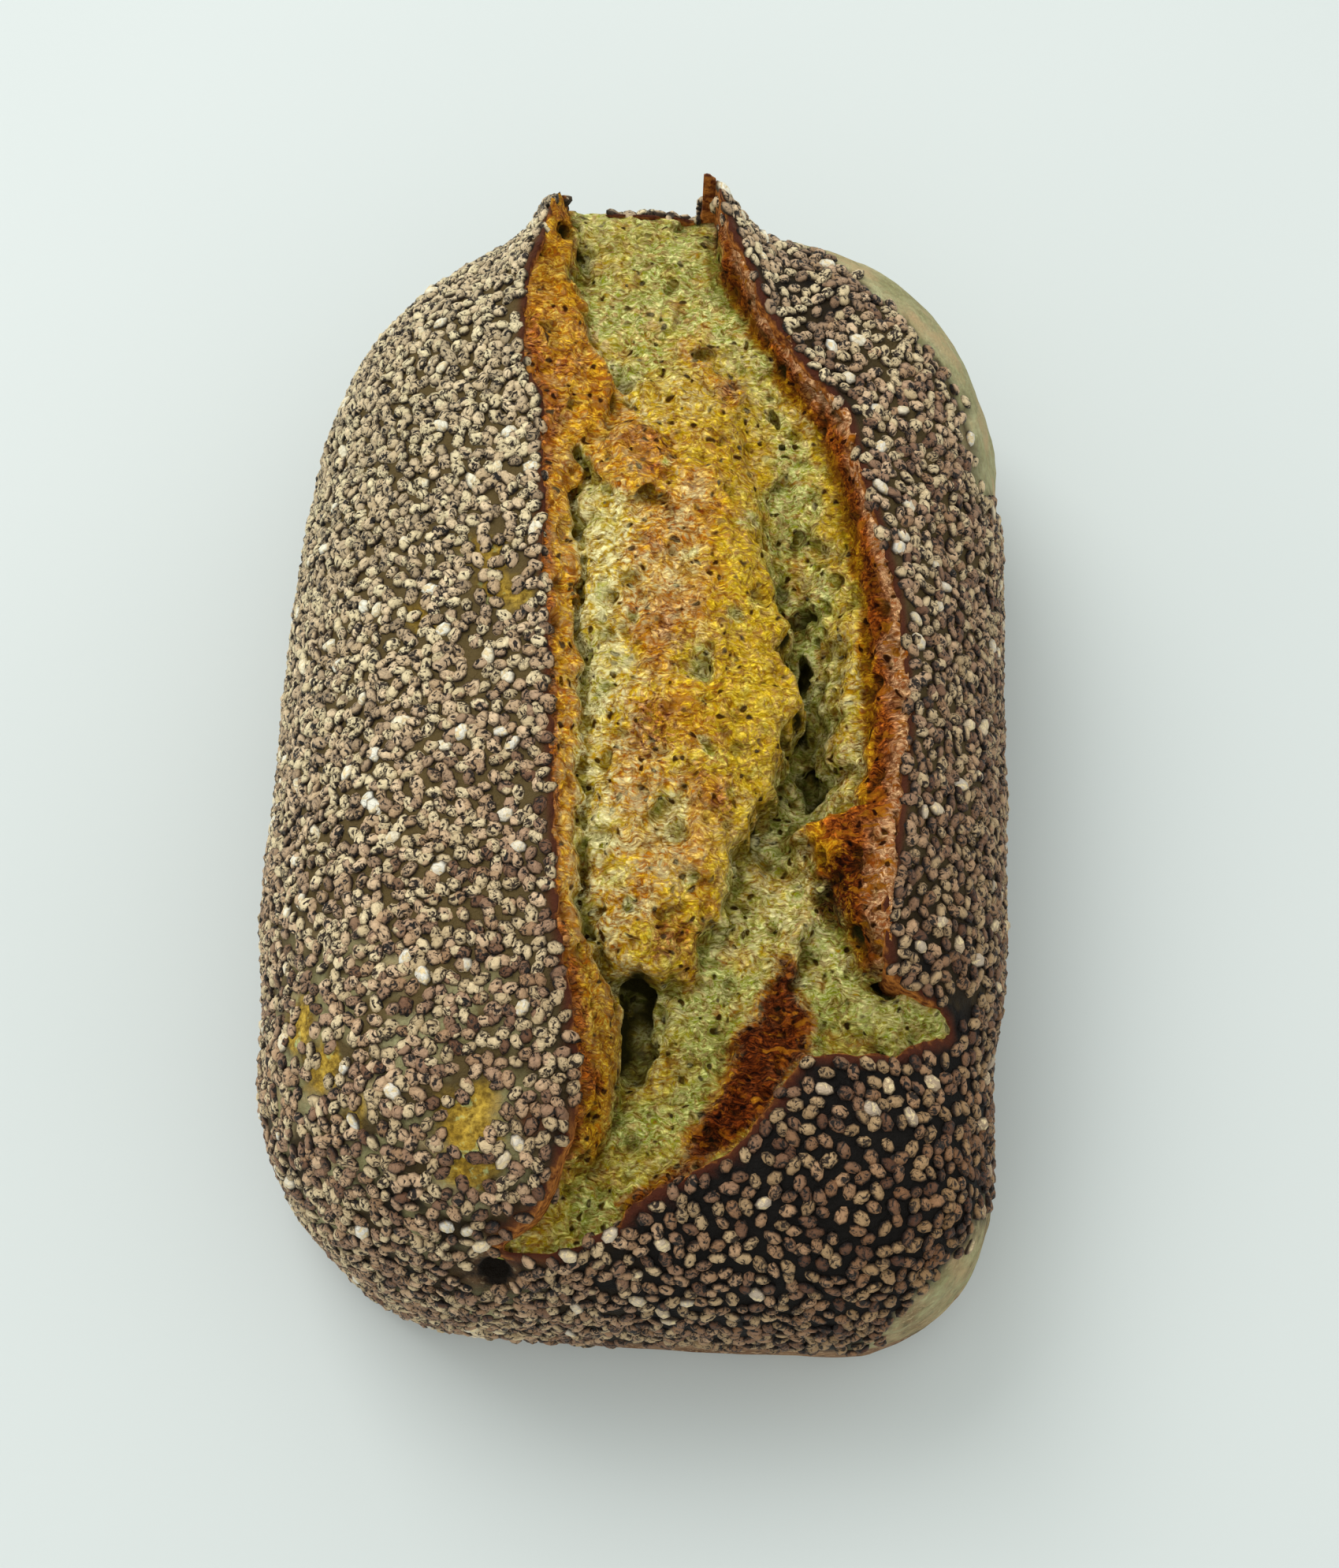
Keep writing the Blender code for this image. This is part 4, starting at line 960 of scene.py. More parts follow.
# Mustard skin between the seeds: x, y and radii
MUSTARD_PATCHES = (
    (-15.6, -55.5, 3.6, 4.8), (-17.5, -59.5, 2.2, 3.4), (-19.8, 14.6, 2.2, 2.6), (-16.8, 9.8, 2.6, 1.2),
    (-37.5, -42.8, 1.8, 3.6), (-34.0, -49.5, 2.0, 3.0), (-29.5, -52.5, 1.6, 1.8), (-26.5, 5.0, 1.3, 1.8),
)


def seed_shape(sizes):
    """One smooth oval chia seed lying along X, which keeps its own coordinates for the skin's pattern."""
    work = bmesh.new()
    bmesh.ops.create_uvsphere(work, u_segments=7, v_segments=4, radius=0.5)
    own_places = []
    for vertex in work.verts:
        point = vertex.co
        narrowing = 1.0 - 0.16 * (point.x * 2.0)
        vertex.co = Vector((
            point.x * sizes.seed_length,
            point.y * sizes.seed_width * narrowing,
            point.z * sizes.seed_thickness * narrowing,
        ))
        own_places.extend(vertex.co)
    for face in work.faces:
        face.smooth = True
    mesh = bpy.data.meshes.new("chia seed shape")
    work.to_mesh(mesh)
    work.free()
    own = mesh.attributes.new("seed_place", "FLOAT_VECTOR", "POINT")
    own.data.foreach_set("vector", own_places)
    shape = bpy.data.objects.new("chia seed shape", mesh)
    bpy.context.scene.collection.objects.link(shape)
    return shape


def add_node(tree, kind, settings=None, inputs=None):
    """Add a node with its settings, and its links, values or hex colours by socket name or number."""
    node = tree.nodes.new(kind)
    for name, value in (settings or {}).items():
        setattr(node, name, value)
    for socket, value in (inputs or {}).items():
        if isinstance(value, bpy.types.NodeSocket):
            tree.links.new(value, node.inputs[socket])
        elif isinstance(value, str) and value.startswith("#"):
            node.inputs[socket].default_value = linear(value)
        else:
            node.inputs[socket].default_value = value
    return node


# More points a square metre than the spacing ever lets through
SEED_DENSITY_LIMIT = 1600000.0
SEED_INPUTS = (
    ("Seed shape", "NodeSocketObject"),
    ("Spacing", "NodeSocketFloat"),
    ("Heap spacing", "NodeSocketFloat"),
    ("Plate spacing", "NodeSocketFloat"),
    ("Random seed", "NodeSocketInt"),
    ("Lowest share", "NodeSocketFloat"),
    ("Highest share", "NodeSocketFloat"),
    ("Lift", "NodeSocketFloat"),
    ("Heap lift", "NodeSocketFloat"),
    ("Tilt", "NodeSocketFloat"),
    ("Size", "NodeSocketFloat"),
    ("Material", "NodeSocketMaterial"),
)


def seed_layer(tree, given, cover_name, spacing, lift, number):
    """One layer of seeds over the crust: those whose random share lies between two limits."""
    cover = add_node(tree, "GeometryNodeInputNamedAttribute", {"data_type": "FLOAT"}, {"Name": cover_name})
    spread = add_node(
        tree, "GeometryNodeDistributePointsOnFaces", {"distribute_method": "POISSON"},
        {
            "Mesh": given["Geometry"], "Distance Min": given[spacing], "Density Max": SEED_DENSITY_LIMIT,
            "Density Factor": cover.outputs["Attribute"], "Seed": given["Random seed"],
        },
    )
    share = add_node(tree, "FunctionNodeRandomValue", {"data_type": "FLOAT"}, {"Seed": 5 + number})
    too_low = add_node(
        tree, "FunctionNodeCompare", {"operation": "LESS_THAN"},
        {0: share.outputs[1], 1: given["Lowest share"]},
    )
    too_high = add_node(
        tree, "FunctionNodeCompare", {"operation": "GREATER_EQUAL"},
        {0: share.outputs[1], 1: given["Highest share"]},
    )
    other = add_node(
        tree, "FunctionNodeBooleanMath", {"operation": "OR"},
        {0: too_low.outputs["Result"], 1: too_high.outputs["Result"]},
    )
    kept = add_node(
        tree, "GeometryNodeDeleteGeometry", {"domain": "POINT"},
        {"Geometry": spread.outputs["Points"], "Selection": other.outputs["Boolean"]},
    )
    back = add_node(tree, "ShaderNodeMath", {"operation": "MULTIPLY"}, {0: given["Tilt"], 1: -1.0})
    least = add_node(
        tree, "ShaderNodeCombineXYZ", None, {"X": back.outputs["Value"], "Y": back.outputs["Value"]})
    most = add_node(
        tree, "ShaderNodeCombineXYZ", None, {"X": given["Tilt"], "Y": given["Tilt"], "Z": math.tau})
    turn = add_node(
        tree, "FunctionNodeRandomValue", {"data_type": "FLOAT_VECTOR"},
        {0: least.outputs["Vector"], 1: most.outputs["Vector"], "Seed": 9 + number},
    )
    spread_of_size = add_node(
        tree, "FunctionNodeRandomValue", {"data_type": "FLOAT"}, {2: 0.86, 3: 1.08, "Seed": 13 + number})
    size = add_node(
        tree, "ShaderNodeMath", {"operation": "MULTIPLY"}, {0: spread_of_size.outputs[1], 1: given["Size"]})
    shape = add_node(
        tree, "GeometryNodeObjectInfo", {"transform_space": "ORIGINAL"}, {"Object": given["Seed shape"]})
    placed = add_node(
        tree, "GeometryNodeInstanceOnPoints", None,
        {
            "Points": kept.outputs["Geometry"], "Instance": shape.outputs["Geometry"],
            "Rotation": spread.outputs["Rotation"], "Scale": size.outputs["Value"],
        },
    )
    up = add_node(tree, "ShaderNodeCombineXYZ", None, {"Z": given[lift]})
    lifted = add_node(
        tree, "GeometryNodeTranslateInstances", None,
        {"Instances": placed.outputs["Instances"], "Translation": up.outputs["Vector"]},
    )
    return add_node(
        tree, "GeometryNodeRotateInstances", None,
        {"Instances": lifted.outputs["Instances"], "Rotation": turn.outputs[0]},
    )


def seed_tree():
    """Scatter seeds over a crust: a dense layer, one heaped on it, and one with gaps on the near plate."""
    tree = bpy.data.node_groups.new("Chia scatter", "GeometryNodeTree")
    face = tree.interface
    face.new_socket("Geometry", in_out="INPUT", socket_type="NodeSocketGeometry")
    for name, kind in SEED_INPUTS:
        face.new_socket(name, in_out="INPUT", socket_type=kind)
    face.new_socket("Geometry", in_out="OUTPUT", socket_type="NodeSocketGeometry")
    given = add_node(tree, "NodeGroupInput").outputs
    lower = seed_layer(tree, given, "seed_cover", "Spacing", "Lift", 0)
    upper = seed_layer(tree, given, "seed_heap", "Heap spacing", "Heap lift", 50)
    plate = seed_layer(tree, given, "seed_plate", "Plate spacing", "Lift", 90)
    both = add_node(tree, "GeometryNodeJoinGeometry")
    for layer in (lower, upper, plate):
        tree.links.new(layer.outputs["Instances"], both.inputs["Geometry"])
    tone = add_node(tree, "FunctionNodeRandomValue", {"data_type": "FLOAT"}, {"Seed": 21})
    toned = add_node(
        tree, "GeometryNodeStoreNamedAttribute", {"data_type": "FLOAT", "domain": "INSTANCE"},
        {"Geometry": both.outputs["Geometry"], "Name": "tone", "Value": tone.outputs[1]},
    )
    real = add_node(tree, "GeometryNodeRealizeInstances", None, {"Geometry": toned.outputs["Geometry"]})
    coated = add_node(
        tree, "GeometryNodeSetMaterial", None,
        {"Geometry": real.outputs["Geometry"], "Material": given["Material"]},
    )
    add_node(tree, "NodeGroupOutput", None, {"Geometry": coated.outputs["Geometry"]})
    return tree


def scatter_seeds(name, crust, tree, values):
    """Plain mesh of one kind of seed scattered over the crust."""
    carrier = bpy.data.objects.new(name, crust.data.copy())
    bpy.context.scene.collection.objects.link(carrier)
    modifier = carrier.modifiers.new("Chia scatter", "NODES")
    modifier.node_group = tree
    for item in tree.interface.items_tree:
        if item.in_out == "INPUT" and item.name in values:
            modifier[item.identifier] = values[item.name]
    evaluated = carrier.evaluated_get(bpy.context.evaluated_depsgraph_get())
    mesh = bpy.data.meshes.new_from_object(evaluated)
    carrier.modifiers.clear()
    carrier.data = mesh
    mesh.name = name
    return carrier


def linear(colour):
    """Linear RGBA of an sRGB hex colour."""
    parts = [int(colour[i:i + 2], 16) / 255.0 for i in (1, 3, 5)]
    return [c / 12.92 if c <= 0.04045 else ((c + 0.055) / 1.055) ** 2.4 for c in parts] + [1.0]


def new_material(name, kept_names=()):
    """Empty node material: its tree, shader, Object coordinates and the values kept on the mesh."""
    material = bpy.data.materials.new(name)
    material.use_nodes = True
    tree = material.node_tree
    shader = tree.nodes["Principled BSDF"]
    place = add_node(tree, "ShaderNodeTexCoord").outputs["Object"]
    kept = {}
    for kept_name in kept_names:
        value = add_node(tree, "ShaderNodeAttribute", {"attribute_name": kept_name})
        kept[kept_name] = value.outputs["Fac"]
    return material, tree, shader, place, kept


def layered(tree, colour, *layers):
    """Lay paints over a colour in turn: each layer is a share, a paint and, unless it covers, a blend type.

    A share is a socket, or several sockets and numbers to multiply.
    """
    for share, paint, *blend_type in layers:
        if isinstance(share, tuple):
            share, *factors = share
            for factor in factors:
                product = add_node(tree, "ShaderNodeMath", {"operation": "MULTIPLY"}, {0: share, 1: factor})
                share = product.outputs["Value"]
        settings = {"data_type": "RGBA", "blend_type": blend_type[0] if blend_type else "MIX"}
        colour = add_node(tree, "ShaderNodeMix", settings, {0: share, 6: colour, 7: paint}).outputs[2]
    return colour


def noise_share(tree, place, size_mm, low, high, detail=3.0, rough=0.6):
    """Noise with features of a real size, spread between 0 and 1 from two of its levels."""
    noise = add_node(
        tree, "ShaderNodeTexNoise", None,
        {"Vector": place, "Scale": 1.0 / (size_mm * METRES_PER_MM), "Detail": detail, "Roughness": rough},
    )
    share = add_node(
        tree, "ShaderNodeMapRange", None,
        {"Value": noise.outputs["Fac"], "From Min": low, "From Max": high},
    )
    return share.outputs["Result"]


def speckled(tree, share, noise, reach=0.5):
    """Share broken up by noise at its edge."""
    mixed = add_node(tree, "ShaderNodeMath", {"operation": "MULTIPLY_ADD"}, {0: noise, 1: reach, 2: share})
    broken = add_node(
        tree, "ShaderNodeMapRange", None,
        {"Value": mixed.outputs["Value"], "From Min": 0.5 * reach, "From Max": 1.0},
    )
    return broken.outputs["Result"]


def spots(tree, place, size_mm, edge, core, channel, least, most):
    """Round spots in some cells of a pattern, from their edge to their core, and the cells' distances."""
    cells = add_node(
        tree, "ShaderNodeTexVoronoi", None, {"Vector": place, "Scale": 1.0 / (size_mm * METRES_PER_MM)})
    spot = add_node(
        tree, "ShaderNodeMapRange", None,
        {"Value": cells.outputs["Distance"], "From Min": edge, "From Max": core},
    )
    chance = add_node(tree, "ShaderNodeSeparateColor", None, {"Color": cells.outputs["Color"]})
    chosen = add_node(
        tree, "ShaderNodeMapRange", None,
        {"Value": chance.outputs[channel], "From Min": least, "From Max": most},
    )
    some = add_node(
        tree, "ShaderNodeMath", {"operation": "MULTIPLY"},
        {0: spot.outputs["Result"], 1: chosen.outputs["Result"]},
    )
    return some.outputs["Value"], cells.outputs["Distance"]


def dress_shader(tree, shader, colour, relief, strength, depth_mm, roughness, specular):
    """Give a shader its colour, its fine relief and its sheen."""
    bump = add_node(
        tree, "ShaderNodeBump", None,
        {"Height": relief, "Strength": strength, "Distance": depth_mm * METRES_PER_MM},
    )
    tree.links.new(colour, shader.inputs["Base Color"])
    tree.links.new(bump.outputs["Normal"], shader.inputs["Normal"])
    shader.inputs["Roughness"].default_value = roughness
    shader.inputs["Specular IOR Level"].default_value = specular


def crumb_material(sizes):
    """Torn sourdough crumb: crisp dried strands of gluten over gold, orange and green, dark in the pits as
    painted shade, with cream flecks that are partly painted highlight.
    """
    material, tree, shader, place, kept = new_material("torn sourdough crumb", CRUMB_VALUES)
    sway = add_node(
        tree, "ShaderNodeTexNoise", None,
        {"Vector": place, "Scale": 1.0 / (2.2 * METRES_PER_MM), "Detail": 2.0},
    )
    shift = add_node(
        tree, "ShaderNodeVectorMath", {"operation": "SCALE"}, {0: sway.outputs["Color"], "Scale": 0.0022})
    moved = add_node(
        tree, "ShaderNodeVectorMath", {"operation": "ADD"}, {0: place, 1: shift.outputs["Vector"]})
    bent = moved.outputs["Vector"]
    strands = add_node(
        tree, "ShaderNodeMapping", None,
        {"Vector": bent, "Rotation": (0.0, 0.0, 0.6), "Scale": (0.55, 1.5, 1.1)},
    )
    drawn_out = add_node(
        tree, "ShaderNodeMapping", None,
        {"Vector": bent, "Rotation": (0.0, 0.0, 0.8), "Scale": (0.4, 1.5, 1.0)},
    )
    # Torn fibres, specks, soft patches, toasted crests, noise patches of painted shade and crisp dry spots
    # whose cream is partly painted highlight
    fibre = noise_share(tree, strands.outputs["Vector"], 0.5, 0.41, 0.59, detail=5.0, rough=0.72)
    fleck = noise_share(tree, bent, 0.75, 0.4, 0.6, rough=0.7)
    cloud = noise_share(tree, place, 2.4, 0.35, 0.65)
    crests = noise_share(tree, drawn_out.outputs["Vector"], 1.5, 0.53, 0.62)
    painted_shade_patches = noise_share(tree, place, 3.2, 0.42, 0.34, detail=2.0)
    crisp = noise_share(tree, bent, 2.6, 0.5, 0.62, detail=2.0)
    # Beads of dry gluten whose cream is partly painted highlight, with seams between them, and open pores
    # darkened with painted shade
    grain, grain_distance = spots(tree, bent, 0.8, 0.48, 0.25, "Red", 0.4, 0.7)
    pore_with_painted_shade, _ = spots(tree, bent, 1.5, 0.34, 0.2, "Green", 0.45, 0.65)
    seam = add_node(
        tree, "ShaderNodeMapRange", None,
        {"Value": grain_distance, "From Min": 0.55, "From Max": 0.95, "To Max": 0.8},
    )
    # cream on crumb raised above its surroundings: partly dry ridges, partly painted highlight
    high = add_node(
        tree, "ShaderNodeMapRange", None,
        {"Value": kept["raised"], "From Min": 0.55, "From Max": 0.95, "To Max": 0.6},
    )
    # painted shade on crumb that lies lower than the crumb around it
    low = add_node(
        tree, "ShaderNodeMapRange", None,
        {"Value": kept["raised"], "From Min": 0.34, "From Max": 0.0, "To Max": 0.75},
    )

    dry = kept["pale"]
    cream = rgba(sizes.cream)
    toasted = speckled(tree, kept["orange"], fleck)
    colour = layered(
        tree, rgba(sizes.green_dark),
        (fibre, rgba(sizes.green_light)),
        (speckled(tree, kept["gold"], cloud), layered(tree, "#B88C04", (fibre, rgba(sizes.gold)))),
        (toasted, layered(tree, "#BC6A04", (fibre, rgba(sizes.orange)))),
        (speckled(tree, kept["brown"], fleck), layered(tree, "#541A06", (fibre, rgba(sizes.brown)))),
        (kept["pink"], layered(tree, "#A05A2C", (fibre, "#F6C490"))),
        (speckled(tree, kept["char"], fleck), layered(tree, "#220802", (fibre, "#7C360C"))),
        ((crests, toasted), "#A04E0E"),
        ((crests, cloud, 0.6), "#C48A1C"),
        # cream flecks of dry gluten, partly painted highlight
        ((grain, dry), cream),
        ((fibre, fleck, dry), cream),
        (seam.outputs["Result"], "#A08030", "MULTIPLY"),
        # painted shade in the open pores
        (pore_with_painted_shade, "#5A4818", "MULTIPLY"),
        # cream on raised crumb, partly painted highlight
        ((high.outputs["Result"], fleck, dry), cream),
        # painted shade on the low places
        (low.outputs["Result"], "#969440", "MULTIPLY"),
        # painted shade in patches placed by noise
        ((painted_shade_patches, 0.6), "#BCA860", "MULTIPLY"),
        # cream on crisp dry spots, partly painted highlight
        ((crisp, fibre, dry), cream),
        # painted shade: darker at the near end, in the right valley and at the far end
        (kept["shade"], "#C6CAB0", "MULTIPLY"),
        # painted shade, near black, on crumb that lies below the surface
        (kept["painted_cavity_shade"], "#2A260A"),
    )
    grains = add_node(tree, "ShaderNodeMath", {"operation": "MULTIPLY_ADD"}, {0: grain, 1: 0.5, 2: fibre})
    surface = add_node(
        tree, "ShaderNodeMath", {"operation": "MULTIPLY_ADD"},
        {0: pore_with_painted_shade, 1: -1.6, 2: grains.outputs["Value"]},
    )
    dress_shader(tree, shader, colour, surface.outputs["Value"], 0.8, 0.22, 0.8, 0.05)
    return material


def crust_material(sizes):
    """Baked crust between the seeds: dark glaze, near black on the near plate partly as painted shade, paler
    and greener where none stuck, torn at the split.
    """
    material, tree, shader, place, kept = new_material("baked sourdough crust", CRUST_VALUES)
    cloud = noise_share(tree, place, 6.0, 0.35, 0.65, detail=4.0)
    grain = noise_share(tree, place, 0.9, 0.36, 0.64)
    blotch = noise_share(tree, place, 7.0, 0.48, 0.66, detail=5.0)
    sage = noise_share(tree, place, 2.2, 0.58, 0.68)
    light_speck = noise_share(tree, place, 0.7, 0.56, 0.64, detail=4.0)
    dark_speck = noise_share(tree, place, 1.6, 0.44, 0.36, detail=4.0)
    glaze = layered(
        tree, "#0C0804",
        # the near plate's glaze is near black: partly darker crust, partly painted shade
        (cloud, rgba(sizes.glaze)), (kept["seed_heap"], "#5A4A2A"), (kept["seed_plate"], "#0A0603"),
    )
    bare = layered(tree, "#8E8A5C", (cloud, "#B4B084"), ((grain, 0.35), "#6E5A34"), (blotch, "#B49A70"))
    ochre = layered(tree, "#A07C1E", (cloud, "#D0AC44"))
    mustard = layered(tree, "#6A5010", (grain, ochre), (sage, "#B8BE7C"))
    pinkish = layered(
        tree, "#5C3A1E", (cloud, "#94704E"), (light_speck, "#B89A74"), (dark_speck, "#3E2410"))
    torn = layered(tree, "#5A2408", (grain, "#C07A34"))
    colour = layered(
        tree, glaze,
        (kept["bare"], bare),
        (kept["mustard"], mustard),
        (kept["base"], pinkish),
        ((kept["rim"], 0.85), "#4A1E0C"),
        (kept["torn"], torn),
        # painted shade inside the small opening
        (kept["painted_hole_shade"], "#140C04"),
    )
    relief = add_node(
        tree, "ShaderNodeTexNoise", None,
        {"Vector": place, "Scale": 1.0 / (0.9 * METRES_PER_MM), "Detail": 4.0, "Roughness": 0.65},
    )
    dress_shader(tree, shader, colour, relief.outputs["Fac"], 1.0, 0.8, 0.7, 0.15)
    return material


def seed_material(name, deep, light, vein):
    """Dried chia skin with dark cracks: painted light makes seeds paler at the far left, painted shade makes
    them darker towards the near right and on each seed's lower side.
    """
    material, tree, shader, place, kept = new_material(name, ("tone",))
    # painted light and shade by place: paler at the far left, darker towards the near right
    parts = add_node(tree, "ShaderNodeSeparateXYZ", None, {"Vector": place})
    rightward = add_node(
        tree, "ShaderNodeMapRange", None,
        {"Value": parts.outputs["X"], "From Min": -0.035, "From Max": 0.04, "To Max": 0.5},
    )
    nearward = add_node(
        tree, "ShaderNodeMapRange", None,
        {"Value": parts.outputs["Y"], "From Min": 0.05, "From Max": -0.06, "To Max": 0.5},
    )
    toasted = add_node(
        tree, "ShaderNodeMath", {"operation": "ADD"},
        {0: nearward.outputs["Result"], 1: rightward.outputs["Result"]},
    )
    painted_light_far_left = add_node(
        tree, "ShaderNodeMapRange", None,
        {"Value": toasted.outputs["Value"], "From Min": 0.45, "From Max": 0.1, "To Max": 0.5},
    )
    # painted shade: darker towards the near right
    dark = add_node(tree, "ShaderNodeMapRange", None, {"Value": toasted.outputs["Value"], "From Min": 0.25})
    base = layered(
        tree, deep,
        (kept["tone"], light),
        (painted_light_far_left.outputs["Result"], "#DED0A6"),
        (dark.outputs["Result"], "#A28872", "MULTIPLY"),
    )
    own = add_node(tree, "ShaderNodeAttribute", {"attribute_name": "seed_place"}).outputs["Vector"]
    slid = add_node(tree, "ShaderNodeMath", {"operation": "MULTIPLY"}, {0: kept["tone"], 1: 40.0})
    offset = add_node(tree, "ShaderNodeCombineXYZ", None, {"Z": slid.outputs["Value"]})
    pattern_place = add_node(
        tree, "ShaderNodeVectorMath", {"operation": "ADD"}, {0: own, 1: offset.outputs["Vector"]})
    mottle = add_node(
        tree, "ShaderNodeTexNoise", None,
        {
            "Vector": pattern_place.outputs["Vector"], "Scale": 1.15, "Detail": 4.0, "Roughness": 0.65,
            "Distortion": 1.0,
        },
    )
    skin = add_node(
        tree, "ShaderNodeMapRange", None,
        {"Value": mottle.outputs["Fac"], "From Min": 0.42, "From Max": 0.5},
    )
    # painted shade on each seed's lower side
    height = add_node(tree, "ShaderNodeSeparateXYZ", None, {"Vector": own})
    painted_underside_shade = add_node(
        tree, "ShaderNodeMapRange", None,
        {"Value": height.outputs["Z"], "From Min": 0.38, "From Max": 0.02, "To Max": 0.96},
    )
    colour = layered(
        tree, vein, (skin.outputs["Result"], base), (painted_underside_shade.outputs["Result"], "#3A2A1A", "MULTIPLY"))
    dress_shader(tree, shader, colour, mottle.outputs["Fac"], 1.0, 0.8, 0.55, 0.3)
    return material


def table_material():
    """Matt white laminate with a faint cool tint."""
    material, tree, shader, place, _ = new_material("matt white laminate")
    cloud = add_node(
        tree, "ShaderNodeTexNoise", None,
        {"Vector": place, "Scale": 1.0 / (120.0 * METRES_PER_MM), "Detail": 2.0},
    )
    colour = layered(tree, "#C2C8C6", (cloud.outputs["Fac"], "#C8CDCB"))
    tree.links.new(colour, shader.inputs["Base Color"])
    shader.inputs["Roughness"].default_value = 0.7
    return material


def finish_piece(piece, material=None):
    """Give a piece its material and tie it to the solid."""
    if material:
        piece.data.materials.clear()
        piece.data.materials.append(material)
    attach(piece, "root")
    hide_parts("loaf")


def rgba(colour):
    """Colour property with full alpha."""
    return list(colour) + [1.0]


def colour_property(name, description, colour):
    """Colour property with an sRGB hex default."""
    return FloatVectorProperty(
        name=name, description=description, subtype="COLOR", size=3, min=0.0, max=1.0,
        default=linear(colour)[:3],
    )


def millimetres(name, description, size):
    """Size property in millimetres."""
    return FloatProperty(name=name, description=description + ", mm", default=size)


class LoafSizes(bpy.types.PropertyGroup):
    half_width: millimetres("Half width", "Half the body's width", 46.0)
    half_length: millimetres("Half length", "Half the body's length", 74.1)
    shoulder_top: millimetres("Shoulder height", "Height of the dome's shoulder", 49.0)
    crumb_detail: millimetres("Crumb detail", "Cell of the crumb's relief", 0.42)
    crust_detail: millimetres("Crust detail", "Cell of the crust's relief", 0.75)
    seed_length: millimetres("Seed length", "Length of a chia seed", 2.55)
    seed_width: millimetres("Seed width", "Width of a chia seed", 1.75)
    seed_thickness: millimetres("Seed thickness", "Thickness of a chia seed", 1.3)
    seed_spacing: millimetres("Seed spacing", "Least distance between seeds", 1.22)
    heap_spacing: millimetres("Heap spacing", "Least distance between heaped seeds", 1.85)
    plate_spacing: millimetres("Plate spacing", "Seed distance on the near plate", 1.42)
    random_seed: IntProperty(name="Random seed", description="Changes where the seeds fall", default=3)
    green_dark: colour_property("Crumb shade", "Darker green of the torn crumb", "#969E20")
    green_light: colour_property("Crumb green", "Lighter green of the torn crumb", "#FAFAA4")
    gold: colour_property("Crumb gold", "Gold of the crumb that the oven reached", "#FAD42C")
    orange: colour_property("Crumb orange", "Orange of the torn faces beside the lips", "#FFC428")
    brown: colour_property("Crumb brown", "Red brown of the browned edges", "#D87424")
    # the cream flecks are partly dry gluten and partly painted highlight
    cream: colour_property("Crumb cream", "Cream of the dry gluten flecks", "#FFF4B4")
    glaze: colour_property("Crust glaze", "Glaze between the seeds", "#33260F")


class LOAF_OT_crumb(bpy.types.Operator):
    """Build the torn crumb inside the split"""

    bl_idname = "loaf.crumb"
    bl_label = "Torn crumb"

    def execute(self, context):
        finish_piece(build_crumb(context.scene.loaf_sizes), crumb_material(context.scene.loaf_sizes))
        return {"FINISHED"}


class LOAF_OT_crust(bpy.types.Operator):
    """Build the baked crust with its lifted lips"""

    bl_idname = "loaf.crust"
    bl_label = "Baked crust"

    def execute(self, context):
        finish_piece(build_crust(context.scene.loaf_sizes), crust_material(context.scene.loaf_sizes))
        return {"FINISHED"}


class LOAF_OT_seeds(bpy.types.Operator):
    """Scatter the kinds of chia seed over the crust"""

    bl_idname = "loaf.seeds"
    bl_label = "Chia seeds"

    def execute(self, context):
        sizes = context.scene.loaf_sizes
        crust = bpy.data.objects["baked_crust"]
        shape = seed_shape(sizes)
        tree = seed_tree()
        lowest = 0.0
        for name, share, lift, heap_lift, size, material_name, dark, light, vein in SEED_KINDS:
            piece = scatter_seeds(name, crust, tree, {
                "Seed shape": shape,
                "Spacing": sizes.seed_spacing * METRES_PER_MM,
                "Heap spacing": sizes.heap_spacing * METRES_PER_MM,
                "Plate spacing": sizes.plate_spacing * METRES_PER_MM,
                "Random seed": sizes.random_seed,
                "Lowest share": lowest,
                "Highest share": lowest + share,
                "Lift": lift * METRES_PER_MM,
                "Heap lift": heap_lift * METRES_PER_MM,
                "Tilt": SEED_TILT,
                "Size": size * METRES_PER_MM,
                "Material": seed_material(material_name, dark, light, vein),
            })
            lowest += share
            finish_piece(piece)
        bpy.data.objects.remove(shape)
        return {"FINISHED"}


# Most a seed leans from the crust, in radians
SEED_TILT = 0.5
# Kinds of seed: piece, share, lift on the crust and the heap, size, material, skin from dark to light, veins
SEED_KINDS = (
    ("chia_grey", 0.35, 0.3, 1.2, 1.0, "dried grey chia skin", "#D6BE92", "#FFEABC", "#2A1C0E"),
    ("chia_brown", 0.34, 0.3, 1.2, 1.0, "dried brown chia skin", "#B48E68", "#F4D4AC", "#20140A"),
    ("chia_dark", 0.28, 0.3, 1.2, 1.0, "dark chia skin", "#7A543A", "#CCA988", "#140C06"),
    ("chia_white", 0.03, 0.6, 1.6, 1.1, "white chia skin", "#FFF2D2", "#FFFFF4", "#E8D0A0"),
)

# The photo's view: target and distance in millimetres, angles in degrees
CAMERA_TARGET = (3.9, -11.4, 45.0)
CAMERA_DISTANCE = 270.0
CAMERA_TILT = 20.0
CAMERA_YAW = 3.11
CAMERA_LENS = 51.3
SENSOR = 36.0
# Window light and the room around it, in metres and watts
WINDOW_PLACE = (-0.56, 0.62, 1.15)
WINDOW_SIZE = 0.8
WINDOW_POWER = 10.0
LIGHT_TARGET = (0.0, 0.0, 0.03)
ROOM_COLOUR = "#EBEFED"
ROOM_STRENGTH = 1.18
TABLE_SIZE = 3.0


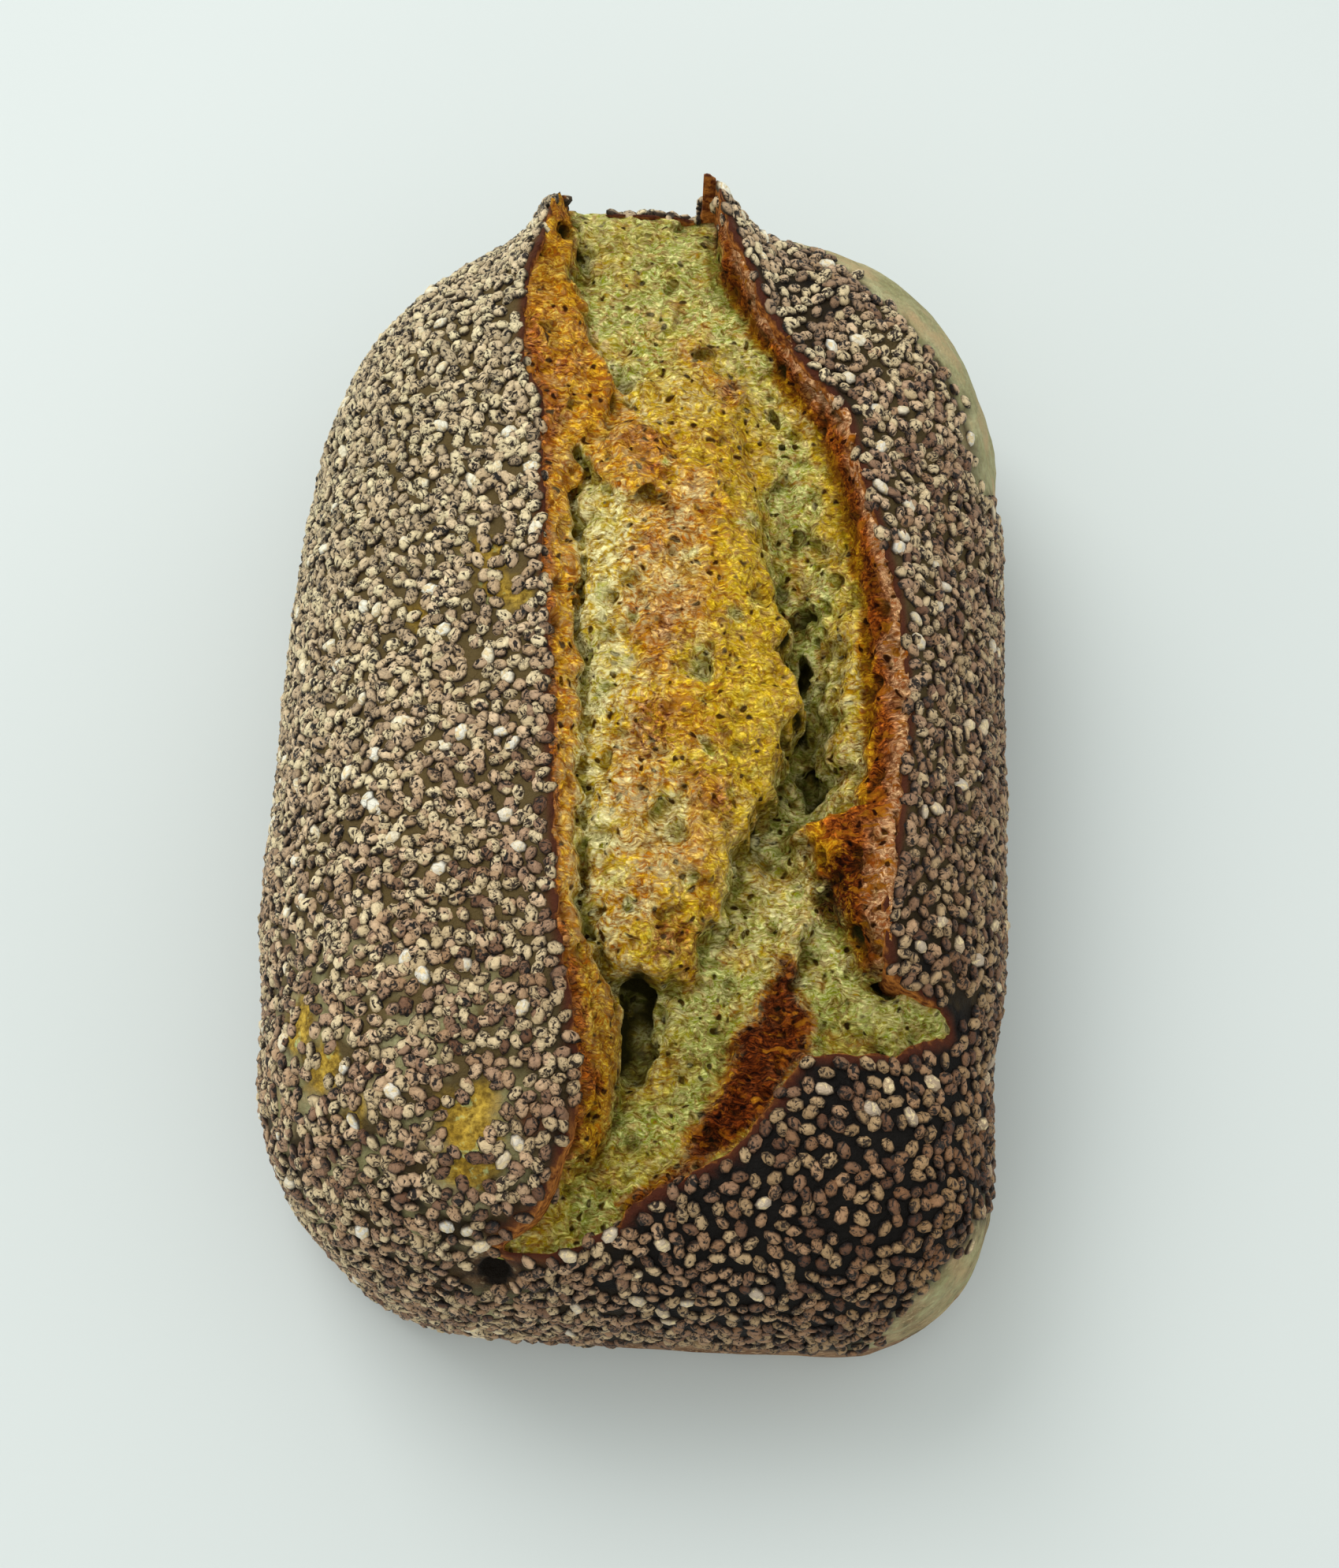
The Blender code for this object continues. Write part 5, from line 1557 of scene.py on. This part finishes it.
def make_camera():
    """Camera at the photo's viewing angle."""
    tilt = math.radians(CAMERA_TILT)
    yaw = math.radians(CAMERA_YAW)
    forward = Vector((-math.sin(yaw) * math.sin(tilt), math.cos(yaw) * math.sin(tilt), -math.cos(tilt)))
    data = bpy.data.cameras.new("photo camera")
    data.lens = CAMERA_LENS
    data.sensor_width = SENSOR
    data.sensor_fit = "AUTO"
    data.clip_start = 0.01
    camera = bpy.data.objects.new("photo camera", data)
    camera.location = (Vector(CAMERA_TARGET) - forward * CAMERA_DISTANCE) * METRES_PER_MM
    up = Vector((-math.sin(yaw) * math.cos(tilt), math.cos(yaw) * math.cos(tilt), math.sin(tilt)))
    right = forward.cross(up)
    camera.matrix_world = Matrix((
        (right.x, up.x, -forward.x, camera.location.x),
        (right.y, up.y, -forward.y, camera.location.y),
        (right.z, up.z, -forward.z, camera.location.z),
        (0.0, 0.0, 0.0, 1.0),
    ))
    bpy.context.scene.collection.objects.link(camera)
    bpy.context.scene.camera = camera


def make_light(name, place, size, power):
    """Square area light aimed at the loaf."""
    data = bpy.data.lights.new(name, "AREA")
    data.size = size
    data.energy = power
    light = bpy.data.objects.new(name, data)
    light.location = place
    aim = Vector(LIGHT_TARGET) - Vector(place)
    light.rotation_euler = aim.to_track_quat("-Z", "Y").to_euler()
    bpy.context.scene.collection.objects.link(light)


class LOAF_OT_stage(bpy.types.Operator):
    """Add the table, soft lights and the camera"""

    bl_idname = "loaf.stage"
    bl_label = "Table, lights and camera"

    def execute(self, context):
        bpy.ops.mesh.primitive_plane_add(size=TABLE_SIZE, location=(0.0, 0.0, 0.0))
        table = context.active_object
        table.name = "table"
        table.data.materials.append(table_material())
        make_light("window", WINDOW_PLACE, WINDOW_SIZE, WINDOW_POWER)
        world = bpy.data.worlds.new("room light")
        world.use_nodes = True
        background = world.node_tree.nodes["Background"]
        background.inputs["Color"].default_value = linear(ROOM_COLOUR)
        background.inputs["Strength"].default_value = ROOM_STRENGTH
        context.scene.world = world
        context.scene.view_settings.view_transform = "Standard"
        make_camera()
        return {"FINISHED"}


class LOAF_PT_panel(bpy.types.Panel):
    bl_label = "Seeded sourdough loaf"
    bl_idname = "LOAF_PT_panel"
    bl_space_type = "VIEW_3D"
    bl_region_type = "UI"
    bl_category = "Loaf"

    def draw(self, context):
        sizes = context.scene.loaf_sizes
        for name in LoafSizes.__annotations__:
            self.layout.prop(sizes, name)
        for operator in OPERATORS:
            self.layout.operator(operator.bl_idname)


OPERATORS = (LOAF_OT_crumb, LOAF_OT_crust, LOAF_OT_seeds, LOAF_OT_stage)
CLASSES = (LoafSizes,) + OPERATORS + (LOAF_PT_panel,)


def register():
    for cls in CLASSES:
        bpy.utils.register_class(cls)
    bpy.types.Scene.loaf_sizes = PointerProperty(type=LoafSizes)


def unregister():
    del bpy.types.Scene.loaf_sizes
    for cls in reversed(CLASSES):
        bpy.utils.unregister_class(cls)


def main():
    register()
    bpy.ops.loaf.crumb()
    bpy.ops.loaf.crust()
    bpy.ops.loaf.seeds()
    bpy.ops.loaf.stage()


if __name__ == "__main__":
    main()
